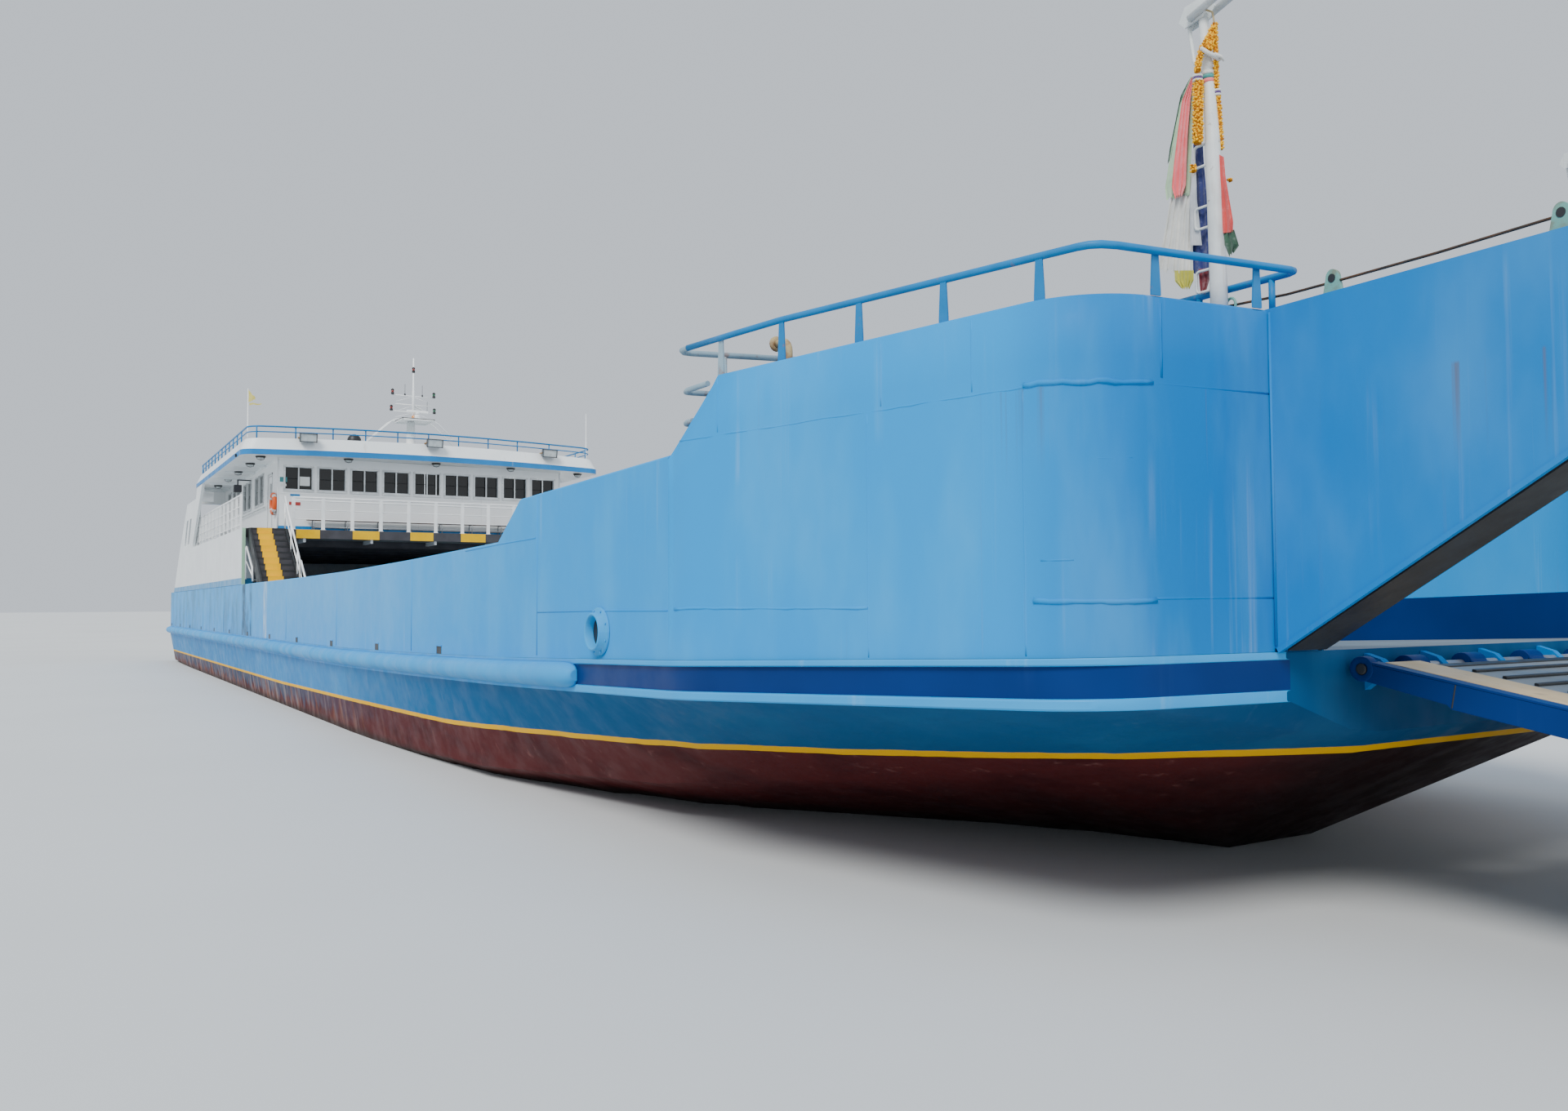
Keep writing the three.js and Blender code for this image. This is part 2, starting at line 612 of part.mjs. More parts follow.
const RIBBON_X = POST.x - POST.half - 0.172;
single(
  "ribbons",
  profile(
    [
      [RIBBON_X, 4.9], [RIBBON_X, 6.84], [RIBBON_X - 0.12, 6.79], [RIBBON_X - 0.4, 6.16], [RIBBON_X - 0.62, 5.49],
      [RIBBON_X - 0.53, 4.9],
    ],
    [POST.y - 0.065, POST.y + 0.05],
  ),
  "cloth",
  { roughness: 0.95 },
);

// Bow ramp, drawn level from its hinge and then lowered

function ramp() {
  const top = 0.07;
  const depth = 0.215;
  const girder = [
    [-0.02, top], [RAMP_LENGTH - 0.5, top], [RAMP_LENGTH, top - 0.06], [RAMP_LENGTH, top - 0.1],
    [RAMP_LENGTH - 0.6, top - depth], [0.75, top - depth], [0.7, top - depth + 0.03], [0.06, -0.09], [-0.04, -0.07],
  ];
  const sides = [-1, 1].map((hand) => {
    const edge = [hand * RAMP_HALF, hand * (RAMP_HALF - 0.1)].sort((a, b) => a - b);
    return profile(girder, edge);
  });
  const inner = RAMP_HALF - 0.1 + SUNK;
  const plate = [[0.22, top], [RAMP_LENGTH - 0.5, top], [RAMP_LENGTH, top - 0.06], [RAMP_LENGTH, top - 0.1], [RAMP_LENGTH - 0.6, top - 0.07], [0.22, top - 0.07]];
  const beams = range(6).map((i) => {
    const x = 0.3 + i * 1.15;
    return box([x, x + 0.08], [-inner, inner], [top - depth + 0.02, top - 0.04]);
  });
  const stringers = [-1.6, -0.8, 0, 0.8, 1.6].map((y) =>
    box([0.3, RAMP_LENGTH - 0.7], [y - 0.04, y + 0.04], [top - depth + 0.02, top - 0.04]),
  );
  const lugYs = [-1.8, -0.95, 0, 0.95, 1.8];
  const lugs = lugYs.flatMap((y) => [
    bar([0, y - 0.12, 0], [0, y + 0.12, 0], LUG_RADIUS, 8),
    box([0, 0.32], [y - 0.12, y + 0.12], [-0.08, top - 0.02]),
  ]);
  const endLugs = [-1, 1].map((hand) => bar([0, hand * (RAMP_HALF - 0.1), 0], [0, hand * RAMP_HALF, 0], LUG_RADIUS, 8));
  const reach = RAMP_HALF - 0.02;
  const bore = bar([0, -reach - 2 * GAP, 0], [0, reach + 2 * GAP, 0], HINGE_PIN * ROUND_FIT + GAP, 16);
  const geometry = carved([...sides, profile(plate, [-inner, inner]), ...beams, ...stringers, ...lugs, ...endLugs], bore);
  return geometry.rotateY((RAMP_SLOPE * Math.PI) / 180).translate(HINGE_X, 0, HINGE_Z);
}
single("ramp", ramp(), "darkBlue");

// Side casings that carry the passenger deck, and the bulkhead that closes the car deck aft

const RAKED_END = [[3.29, -27], [DECK_Z, DECK_AFT_X], [7.0, -21.5]]; // z against x
const CASING_X = -4.8;

function casing() {
  const low = deckZ(0) + BULWARK + GAP;
  const shelf = DECK_Z - DECK_DEPTH - GAP;
  const outline = [
    [lookUp(RAKED_END, low), low], [CASING_X, low], [CASING_X, DECK_Z], [-19.3, DECK_Z],
    [-19.05, 5.3], [-15.98, CEILING], [-17.8, CEILING], [-18.1, 7.0], [-21.5, 7.0], [DECK_AFT_X, DECK_Z],
  ];
  const plate = profile(outline, [-HALF_BEAM, -HALF_BEAM + PLATE]);
  const frames = range(8).map((i) => {
    const x = -5.4 - 2.6 * i;
    return box([x, x + 0.12], [-HALF_BEAM + PLATE - SUNK, -HALF_BEAM + PLATE + 0.28], [low + SUNK, shelf]);
  });
  const leant = 0.9 * (6.3 - 5.25);
  const holes = [-21.2, -22.5].map((x) =>
    profile([[x, 5.25], [x + leant, 6.3], [x + 0.62 + leant, 6.3], [x + 0.62, 5.25]], [-6.4, -5.7]),
  );
  return carved([plate, frames], holes);
}
pair("casing", casing(), "white");

const AFT_BULKHEAD_X = -23.2;
const STERN_DOOR_Y = 3.4;

function doorHole(centreY, [x0, x1], low, high) {
  const half = DOOR.wide / 2 + 0.025;
  return box([x0, x1], [centreY - half, centreY + half], [low, high]);
}

function aftBulkhead() {
  const floor = deckZ(0) + GAP;
  const high = DECK_Z - DECK_DEPTH - GAP;
  const edge = HALF_BEAM - PLATE - GAP - 0.02;
  const wall = box([AFT_BULKHEAD_X - PLATE / 2, AFT_BULKHEAD_X + PLATE / 2], [-edge, edge], [floor, high]);
  const holes = [-1, 1].map((hand) =>
    doorHole(hand * STERN_DOOR_Y, [AFT_BULKHEAD_X - 0.2, AFT_BULKHEAD_X + 0.2], floor + 0.2, floor + 2.1),
  );
  const sockets = [-1, 1].map((hand) => {
    const y = hand * (STERN_DOOR_Y + DOOR.wide / 2 - 0.03);
    return bar([AFT_BULKHEAD_X, y, floor + 0.15], [AFT_BULKHEAD_X, y, floor + 2.15], 0.02 * ROUND_FIT + GAP, 12);
  });
  return carved(wall, [...holes, ...sockets]);
}
single("aft_bulkhead", aftBulkhead(), "white");

// A door leaf drawn shut in a wall across X, with pivot pins at its hinge edge. hinge is +1 or -1 along Y.
function crossDoor(x, centreY, low, high, hinge) {
  const leaf = box(
    [x - DOOR.thick / 2, x + DOOR.thick / 2],
    [centreY - DOOR.wide / 2, centreY + DOOR.wide / 2],
    [low + RUNNING, high - RUNNING],
  );
  const y = centreY + hinge * (DOOR.wide / 2 - 0.03);
  const pin = bar([x, y, low - 0.05 + GAP], [x, y, high + 0.05 - GAP], 0.02, 12);
  const handleY = centreY - hinge * (DOOR.wide / 2 - 0.09);
  const middle = (low + high) / 2;
  const handles = [-1, 1].map((side) =>
    box([x + side * 0.015 - 0.02 + side * 0.02, x + side * 0.015 + 0.02 + side * 0.02], [handleY - 0.015, handleY + 0.015], [middle - 0.1, middle + 0.1]),
  );
  return fused(leaf, pin, handles);
}
{
  const low = deckZ(0) + GAP + 0.2;
  pair("stern_door", crossDoor(AFT_BULKHEAD_X, -STERN_DOOR_Y, low, low + 1.9, -1), "white");
}

// Passenger deck with the girders below it

function passengerDeck() {
  const low = DECK_Z - DECK_DEPTH;
  const edge = HALF_BEAM - PLATE - GAP;
  const slab = box([DECK_AFT_X, DECK_FRONT_X], [-edge, edge], [low, DECK_Z]);
  const girders = range(8).map((i) => {
    const x = -6.2 - 2.3 * i;
    return box([x, x + 0.12], [-5.6, 5.6], [low - 0.22, low + SUNK]);
  });
  return fused(slab, girders);
}
single("passenger_deck", passengerDeck(), "charcoal");

// Cabin walls with their windows cut

const WINDOW_PITCH = 1.052;

function cabinFront() {
  const wall = box([CABIN_FRONT_X - PLATE, CABIN_FRONT_X], [-CABIN_HALF, CABIN_HALF], [FLOOR, CEILING]);
  const holes = range(9).map((i) => {
    const y = (i - 4) * WINDOW_PITCH;
    return box([CABIN_FRONT_X - 0.3, CABIN_FRONT_X + 0.2], [y - WINDOW.wide / 2, y + WINDOW.wide / 2], [WINDOW.low, WINDOW.high]);
  });
  return carved(wall, holes);
}
single("cabin_front", cabinFront(), "white");

const SIDE_DOOR_X = -7.6;
const SIDE_WINDOWS = [-9.4, -10.5, -12.3, -13.4, -15.2, -16.3, -17.7]; // x of each window's middle

function cabinSide() {
  const wallY = [-CABIN_HALF, -CABIN_HALF + PLATE];
  const wall = box([AFT_HOUSE_X + GAP, CABIN_FRONT_X - PLATE - GAP], wallY, [FLOOR, CEILING]);
  const windows = SIDE_WINDOWS.map((x) =>
    box([x - WINDOW.wide / 2, x + WINDOW.wide / 2], [-CABIN_HALF - 0.2, -CABIN_HALF + 0.3], [6.2, WINDOW.high]),
  );
  const half = DOOR.wide / 2 + 0.025;
  const doorway = box([SIDE_DOOR_X - half, SIDE_DOOR_X + half], [-CABIN_HALF - 0.2, -CABIN_HALF + 0.3], [DOOR.low, DOOR.high]);
  const hingeX = SIDE_DOOR_X + DOOR.wide / 2 - 0.03;
  const middle = -CABIN_HALF + PLATE / 2;
  const socket = bar([hingeX, middle, DOOR.low - 0.05], [hingeX, middle, DOOR.high + 0.05], 0.02 * ROUND_FIT + GAP, 12);
  return carved(wall, [...windows, doorway, socket]);
}
pair("cabin_side", cabinSide(), "white");

function cabinDoor() {
  const middle = -CABIN_HALF + PLATE / 2;
  const leaf = box(
    [SIDE_DOOR_X - DOOR.wide / 2, SIDE_DOOR_X + DOOR.wide / 2],
    [middle - DOOR.thick / 2, middle + DOOR.thick / 2],
    [DOOR.low + RUNNING, DOOR.high - RUNNING],
  );
  const light = box([SIDE_DOOR_X - 0.2, SIDE_DOOR_X + 0.2], [middle - 0.2, middle + 0.2], [6.2, 6.75]);
  const hingeX = SIDE_DOOR_X + DOOR.wide / 2 - 0.03;
  const pin = bar([hingeX, middle, DOOR.low - 0.05 + GAP], [hingeX, middle, DOOR.high + 0.05 - GAP], 0.02, 12);
  const handleX = SIDE_DOOR_X - DOOR.wide / 2 + 0.09;
  const handle = box([handleX - 0.015, handleX + 0.015], [middle - 0.055, middle + 0.055], [5.95, 6.15]);
  return geometryOf(solidOf(carved([leaf, pin], light)).add(solidOf(handle)));
}
pair("cabin_door", cabinDoor(), "white");

// Glass behind the walls' openings

single(
  "front_glass",
  box([CABIN_FRONT_X - PLATE - GAP - 0.02, CABIN_FRONT_X - PLATE - GAP], [-4.7, 4.7], [WINDOW.low - 0.05, WINDOW.high + 0.05]),
  "glass",
  { roughness: 0.1 },
);
{
  const inner = -CABIN_HALF + PLATE + GAP;
  pair("side_glass", box([-18.2, -8.9], [inner, inner + 0.02], [6.15, WINDOW.high + 0.05]), "glass", { roughness: 0.1 });
}

// Full-width screen at the after end of the cabin

function aftHouseFront() {
  const edge = HALF_BEAM - PLATE - GAP;
  const wall = box([AFT_HOUSE_X - PLATE, AFT_HOUSE_X], [-edge, edge], [FLOOR, 6.99]);
  const upper = box([AFT_HOUSE_X - PLATE, AFT_HOUSE_X], [-5.3, 5.3], [6.9, CEILING]);
  const ways = [-5.4, 0, 5.4].map((y) => {
    const half = y === 0 ? 0.6 : 0.38;
    return box([AFT_HOUSE_X - 0.3, AFT_HOUSE_X + 0.2], [y - half, y + half], [FLOOR + 0.12, 6.95 - 0.05]);
  });
  return carved([wall, upper], ways);
}
single("aft_house_front", aftHouseFront(), "white");

// Roof with its stripe and sloping fascia

function roofOutline(inset) {
  const corner = 0.4;
  const rows = [[-26.7, 5.08], [-18.1, HALF_BEAM]];
  const arc = range(6).map((i) => {
    const a = (i / 5) * (Math.PI / 2);
    return [ROOF_FRONT_X - corner + corner * Math.sin(a), HALF_BEAM - corner + corner * Math.cos(a)];
  });
  const half = [...rows, ...arc].map(([x, y]) => [x, y - inset]);
  const pulled = half.map(([x, y], i) => [i === 0 ? x + inset : x > -6 ? x - inset : x, y]);
  const crown = [ROOF_FRONT_X + 0.08 - inset, 0];
  return [...pulled.map(([x, y]) => [x, -y]), crown, ...pulled.reverse()];
}

function roof() {
  const ring = (inset, z) => roofOutline(inset).map(([x, y]) => [x, y, z]);
  return fused(loft([ring(0, SOFFIT_Z), ring(0, STRIPE_Z), ring(FASCIA_INSET, ROOF_Z)]));
}
single("roof", roof(), "white");

function roofRail() {
  const tube = 0.022;
  const inset = 0.23;
  const foot = ROOF_Z + GAP;
  const loop = roofOutline(inset).filter(([, y]) => y !== 0);
  const open = [...loop, [-26.7 + inset, loop[0][1]]];
  const rails = [ROOF_RAIL_Z, 8.27].map((z) =>
    sweep(open, () => [[-tube, z - tube], [tube, z - tube], [tube, z + tube], [-tube, z + tube]]),
  );
  const sideY = HALF_BEAM - inset;
  const sidePosts = [-1, 1].flatMap((hand) => [
    ...range(12).map((i) => post(-7 - i, hand * sideY, [foot, ROOF_RAIL_Z], [0.04, 0.05])),
    ...range(4).map((i) => post(-20 - 2 * i, hand * (HALF_BEAM - inset - 0.99 * ((1.9 + 2 * i) / 8.6)), [foot, ROOF_RAIL_Z], [0.04, 0.05])),
  ]);
  const frontPosts = [-5.55, -4.43, -3.27, -2.23, -1.18, -0.14, 0.9, 1.95, 3.01, 4.2, 5.55].map((y) =>
    post(ROOF_FRONT_X - inset, y, [foot, ROOF_RAIL_Z], [0.05, 0.04]),
  );
  const backPosts = range(5).map((i) => post(-26.7 + inset, (i - 2) * 2.2, [foot, ROOF_RAIL_Z], [0.05, 0.04]));
  return fused(rails, sidePosts, frontPosts, backPosts);
}
single("roof_rail", roofRail(), "lightBlue");

// Rails of the passenger deck

function frontRail() {
  const x = DECK_FRONT_X - 0.08;
  const half = 4.55;
  const tops = [[6.1, 0.028], [6.0, 0.022], [5.7, 0.014], [5.4, 0.014]];
  const rails = tops.map(([z, r]) => bar([x, -half, z], [x, half, z], r, 4));
  const posts = range(11).map((i) => post(x, -half + (i * 2 * half) / 10, [DECK_Z + GAP, 6.1], [0.11, 0.05]));
  return fused(rails, posts);
}
single("front_rail", frontRail(), "white");

function sideRail() {
  const y = -HALF_BEAM + PLATE + 0.06;
  const [x0, x1] = [AFT_HOUSE_X + 0.06, -6.35];
  const rails = [[6.22, 0.028], [5.85, 0.016], [5.55, 0.016], [5.25, 0.016]].map(([z, r]) => bar([x0, y, z], [x1, y, z], r, 4));
  const posts = range(13).map((i) => post(x1 + (i * (x0 - x1)) / 12, y, [DECK_Z + GAP, 6.22], [0.05, 0.06]));
  return fused(rails, posts);
}
pair("side_rail", sideRail(), "white");

function aftRail() {
  const x = DECK_AFT_X + 0.15;
  const half = 5.7;
  const rails = [6.1, 5.75, 5.4].map((z) => bar([x, -half, z], [x, half, z], 0.022, 4));
  const posts = range(9).map((i) => post(x, -half + (i * 2 * half) / 8, [DECK_Z + GAP, 6.1]));
  return fused(rails, posts);
}
single("aft_rail", aftRail(), "white");

// Stairs from the car deck to the passenger deck's front corners

const STAIR = { outer: -5.9, inner: -4.8, risers: 17, tread: 0.28 };

function stair() {
  const { outer, inner, risers, tread } = STAIR;
  const base = deckZ(0) + GAP;
  const rise = (DECK_Z - base) / risers;
  const top = [DECK_FRONT_X + GAP, DECK_Z];
  const steps = range(risers).flatMap((i) => {
    const x = DECK_FRONT_X + GAP + i * tread;
    const z = DECK_Z - i * rise;
    return [[x, z], [x + tread, z]].slice(i === 0 ? 1 : 0);
  });
  const end = DECK_FRONT_X + GAP + risers * tread;
  const soffit = 0.35;
  const flight = profile([top, ...steps, [end, base], [end - 2 * tread, base], [top[0], DECK_Z - soffit]], [outer, inner]);
  const y = inner - 0.03;
  const at = (i, up) => [DECK_FRONT_X + GAP + (i + 0.5) * tread, y, DECK_Z - i * rise + up];
  const posts = [0, 4, 8, 12, 16].map((i) => {
    const [x, , z] = at(i, 0);
    return post(x, y, [z - SUNK, z + 0.9], [0.045, 0.045]);
  });
  return fused(flight, bar(at(0, 0.9), at(16, 0.9), 0.03, 4), bar(at(0, 0.5), at(16, 0.5), 0.022, 4), posts);
}
pair("stair", stair(), "charcoal");

// Benches on the fore part of the passenger deck, against the cabin

function bench() {
  const [front, back] = [CABIN_FRONT_X + 0.5, CABIN_FRONT_X + GAP];
  const legs = [-3.85, -2.6, -1.3, 0, 1.3, 2.6, 3.85].map((y) => box([back, front - 0.06], [y - 0.03, y + 0.03], [DECK_Z + GAP, 5.43]));
  return fused(legs, box([back, front], [-3.97, 3.97], [5.41, 5.46]));
}
single("bench", bench(), "seatRed");

// Rows of seats in the cabin and the steering console behind the middle windows

function seats() {
  const rows = range(6).map((i) => {
    const x = -9.3 - 1.5 * i;
    const outline = [[x, 5.1], [x, 5.5], [x - 0.45, 5.47], [x - 0.58, 6.15], [x - 0.66, 6.15], [x - 0.56, 5.1]];
    return outline;
  });
  const banks = [[-3.9, -0.8], [0.8, 3.9]];
  const benches = rows.flatMap((outline) => banks.map((y) => profile(outline, y)));
  const plinths = banks.flatMap(([y0, y1]) => [y0 + 0.3, y1 - 0.4].map((y) => box([-17.7, -9.3], [y, y + 0.1], [DECK_Z + GAP, 5.14])));
  const tie = box([-13.2, -13.1], [-3.5, 3.5], [DECK_Z + GAP, 5.1]);
  return fused(benches, plinths, tie);
}
single("seats", seats(), "seatRed");

function console_() {
  const x = CABIN_FRONT_X - PLATE - 0.05;
  const outline = [[x - 0.1, DECK_Z + GAP], [x - 0.1, 6.1], [x - 0.45, 6.18], [x - 0.75, 5.95], [x - 0.75, DECK_Z + GAP]];
  const wheelX = x - 0.85;
  const rim = new THREE.TorusGeometry(0.28, 0.02, 6, 20).rotateY(Math.PI / 2).translate(wheelX, 0, 5.95);
  const spokes = range(3).map((i) => {
    const a = (i / 3) * Math.PI;
    const [dy, dz] = [0.28 * Math.cos(a), 0.28 * Math.sin(a)];
    return bar([wheelX, -dy, 5.95 - dz], [wheelX, dy, 5.95 + dz], 0.014);
  });
  const hub = bar([wheelX - 0.03, 0, 5.95], [x - 0.7, 0, 5.9], 0.05, 8);
  return fused(profile(outline, [-1.4, 1.4]), rim, spokes, hub);
}
single("steering_console", console_(), "charcoal");

// Life rings on the cabin's side walls

function lifeRing() {
  const ring = new THREE.TorusGeometry(0.3, 0.075, 8, 16).rotateX(Math.PI / 2);
  return fused(ring.translate(-6.48, -CABIN_HALF - 0.075 - GAP, 5.98));
}
pair("life_ring", lifeRing(), "orange");

// Signal mast on the roof with its radar, then the dark dome vent

const MAST_X = -8;
const MAST_PLATFORM_Z = 9.3;
const RADAR_X = MAST_X + 0.57; // forward of the pole, clear of it through a full turn

function mast() {
  const foot = ROOF_Z + GAP;
  const low = MAST_PLATFORM_Z - 0.02;
  const column = bar([MAST_X, 0, foot], [MAST_X, 0, MAST_PLATFORM_Z], 0.17, 10, 0.14);
  const platform = box([MAST_X - 0.45, MAST_X + 0.75], [-0.57, 0.57], [low - 0.05, MAST_PLATFORM_Z]);
  const pole = bar([MAST_X, 0, low], [MAST_X, 0, 11.6], 0.045, 8, 0.025);
  const yards = [[10.2, 0.76], [9.88, 0.64], [9.62, 0.8]].map(([z, half]) => box([MAST_X - 0.02, MAST_X + 0.02], [-half, half], [z - 0.02, z + 0.02]));
  const legs = [-1, 1].flatMap((hand) => [-0.3, 0.3].map((dx) =>
    bar([MAST_X + dx, hand * 0.5, low], [MAST_X + dx, hand * 2, foot + 0.025], 0.03, 4),
  ));
  const middle = (low + foot + 0.02) / 2;
  const ties = [-1, 1].map((hand) => box([MAST_X - 0.33, MAST_X + 0.33], [hand * 1.25 - 0.03, hand * 1.25 + 0.03], [middle - 0.03, middle + 0.03]));
  const lamps = [[0, 11.2], [-0.72, 10.33], [0.72, 10.33], [-0.76, 9.75], [0.76, 9.75]].map(([y, z]) =>
    bar([MAST_X, y, z - 0.14], [MAST_X, y, z + 0.08], 0.07, 8),
  );
  const bearing = bar([RADAR_X, 0, low], [RADAR_X, 0, MAST_PLATFORM_Z + 0.15], 0.11, 10);
  const socket = bar([RADAR_X, 0, MAST_PLATFORM_Z + 0.04], [RADAR_X, 0, 9.6], 0.04 * ROUND_FIT + GAP, 12);
  return carved([column, platform, pole, yards, legs, ties, lamps, bearing], socket);
}
single("signal_mast", mast(), "white");

function radar() {
  const x = RADAR_X;
  const z = MAST_PLATFORM_Z + 0.15 + RUNNING;
  return fused(
    box([x - 0.06, x + 0.06], [-0.38, 0.38], [z + 0.05, z + 0.14]),
    bar([x, 0, MAST_PLATFORM_Z + 0.045], [x, 0, z + 0.06], 0.04, 12),
    bar([x, 0, z], [x, 0, z + 0.07], 0.09, 12),
  );
}
single("radar_scanner", radar(), "white");

const DOME = { x: -6.6, y: -2.35, z: 8.25, radius: 0.24 };

function dome() {
  const points = range(6).map((i) => {
    const a = (i / 5) * (Math.PI / 2);
    return new THREE.Vector2(DOME.radius * Math.cos(a), DOME.radius * Math.sin(a));
  });
  points[5].x = 0;
  const shape = [new THREE.Vector2(0, 0), ...points];
  return new THREE.LatheGeometry(shape, 14).rotateX(Math.PI / 2).translate(DOME.x, DOME.y, DOME.z);
}
const domeFoot = bar([DOME.x, DOME.y, ROOF_Z + GAP], [DOME.x, DOME.y, DOME.z + 0.02], 0.17, 12);
single("dome_vent", fused(dome(), domeFoot), "black");

// Floodlights on the roof's front edge

function floodlight(lift) {
  const z = 7.97;
  const x = ROOF_FRONT_X;
  const outline = [[x - 0.07, z - 0.02], [x + 0.11, z - 0.06], [x + 0.17, z + 0.21], [x, z + 0.25]];
  const housing = outline.map(([px, pz]) => [px + lift, pz + lift]);
  const stand = box([x - 0.195 + lift, x + 0.02 + lift], [-0.15, 0.15], [ROOF_Z + GAP, ROOF_Z + 0.08 + lift / 2]);
  return [profile(housing, [-0.27, 0.27]), stand];
}
for (const [name, y, lift] of [["starboard", -4.1, 0], ["middle", 0, 0.07], ["port", 4.1, 0]]) {
  single(`floodlight_${name}`, fused(floodlight(lift)).translate(0, y, 0), "silver", { roughness: 0.35, metalness: 0.6 });
}

// Flag staffs at the roof's front corners, one with a small flag

function staff(x, height) {
  const y = -5.75;
  const pole = bar([x, y, ROOF_Z + GAP], [x, y, height], 0.02, 8, 0.012);
  const foot = bar([x, y, ROOF_Z + GAP], [x, y, ROOF_Z + 0.05], 0.07, 10);
  return [pole, foot];
}
const FLAG = [[-6.33, 9.66], [-6.33, 9.32], [-6.1, 9.2], [-5.8, 9.26], [-6.1, 9.5]];
piece(starboard, "flag_staff_starboard", fused(staff(-6.32, 9.7), profile(FLAG, [-5.76, -5.74])), "yellow");
piece(port, "flag_staff_port", fused(staff(-5.72, 9.7)), "white");

// Exhaust trunks and life rafts on the after part of the roof

function funnel() {
  const trunk = profile([[-23.6, ROOF_Z + GAP], [-21.9, ROOF_Z + GAP], [-22.2, 9.5], [-23.5, 9.35]], [-4.1, -3.1]);
  const pipes = [-22.6, -23.1].map((x) => bar([x, -3.6, 9.2], [x - 0.15, -3.6, 9.95], 0.13, 10));
  return fused(trunk, pipes);
}
pair("funnel", funnel(), "white");

function liferaft() {
  const x = -15.5;
  const y = -4.9;
  const z = 8.48;
  const canister = bar([x - 0.6, y, z], [x + 0.6, y, z], 0.3, 14);
  const cradles = [-0.35, 0.35].map((d) => box([x + d - 0.05, x + d + 0.05], [y - 0.3, y + 0.3], [ROOF_Z + GAP, z - 0.1]));
  return fused(canister, cradles);
}
pair("liferaft", liferaft(), "raft");

// Propellers and rudders

function propeller() {
  const [x, y, z] = [PROPELLER_X, -SHAFT_Y, SHAFT_Z];
  const hub = bar([x - 0.18, y, z], [x + 0.16, y, z], 0.09, 12, 0.1);
  const cone = bar([x - 0.32, y, z], [x - 0.17, y, z], 0.02, 12, 0.088);
  const shaft = bar([x, y, z], [x + 0.68, y, z], SHAFT_RADIUS, 12);
  const blades = range(4).map((k) => {
    const rings = [[0.05, 0.12, 50], [0.2, 0.19, 38], [0.36, 0.2, 28], [PROPELLER_RADIUS, 0.08, 22]].map(([r, half, pitch]) => {
      const t = 0.014;
      const angle = (pitch * Math.PI) / 180;
      const corners = [[-half, -t], [half, -t], [half, t], [-half, t]];
      return corners.map(([u, v]) => {
        const along = u * Math.sin(angle) + v * Math.cos(angle);
        const across = u * Math.cos(angle) - v * Math.sin(angle);
        return [along, across, r];
      });
    });
    return loft(rings).rotateX((k * Math.PI) / 2).translate(x, y, z);
  });
  return fused(hub, cone, shaft, blades);
}
pair("propeller", propeller(), "bronze", { roughness: 0.35, metalness: 0.9 });

function rudder() {
  const [x, y] = [RUDDER_X, -SHAFT_Y];
  const outline = [
    [x + 0.22, 0], [x + 0.12, 0.07], [x - 0.1, 0.075], [x - 0.62, 0.012], [x - 0.62, -0.012], [x - 0.1, -0.075], [x + 0.12, -0.07],
  ].map(([u, v]) => [u, v + y]);
  const blade = plan(outline, [-1.65, -0.62 - RUNNING]);
  const stock = bar([x, y, -0.8], [x, y, 0.4 - GAP], STOCK_RADIUS, 12);
  return fused(blade, stock);
}
pair("rudder", rudder(), "antifouling");

ferry.scale.setScalar(MM_PER_METRE);

export default ferry;
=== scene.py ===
"""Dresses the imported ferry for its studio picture.

Lengths are the full-size ship's metres, and the model is half that size.
"""

import math
import random
from functools import reduce

import bpy
from mathutils import Matrix, Vector, noise


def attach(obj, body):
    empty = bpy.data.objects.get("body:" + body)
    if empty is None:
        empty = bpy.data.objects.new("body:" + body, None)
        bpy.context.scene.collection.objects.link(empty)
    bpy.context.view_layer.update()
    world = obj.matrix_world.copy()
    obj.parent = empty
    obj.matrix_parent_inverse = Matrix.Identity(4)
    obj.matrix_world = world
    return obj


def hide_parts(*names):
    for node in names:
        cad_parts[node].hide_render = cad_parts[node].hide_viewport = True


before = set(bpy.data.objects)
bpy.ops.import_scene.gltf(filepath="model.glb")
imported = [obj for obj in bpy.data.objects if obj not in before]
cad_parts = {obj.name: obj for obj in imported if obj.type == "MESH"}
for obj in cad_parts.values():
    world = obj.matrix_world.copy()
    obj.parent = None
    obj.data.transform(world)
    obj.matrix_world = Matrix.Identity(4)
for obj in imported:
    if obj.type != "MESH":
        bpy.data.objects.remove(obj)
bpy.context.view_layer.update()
K = 0.5  # model metres per metre of the ship
SIDES = {"starboard": 1, "port": -1}
EYE = Vector((35.8017, -11.3792, 2.586))  # where the camera stands
AHEAD, ACROSS, UP = (1, 0, 0), (0, 1, 0), (0, 0, 1)
RUST = "#8A5A3A"
MATS = {}


def angles(count, start=0, end=360):
    """Radians from start to end degrees in count steps."""
    return [math.radians(start + (end - start) * i / count) for i in range(count + 1)]


def around(centre, radii, turns):
    """Points of an ellipse at the given angles."""
    (x, y), (rx, ry) = centre, radii
    return [(x + rx * math.cos(a), y + ry * math.sin(a)) for a in turns]


def linked(name, data):
    obj = bpy.data.objects.new(name, data)
    bpy.context.scene.collection.objects.link(obj)
    return obj


# Camera and light


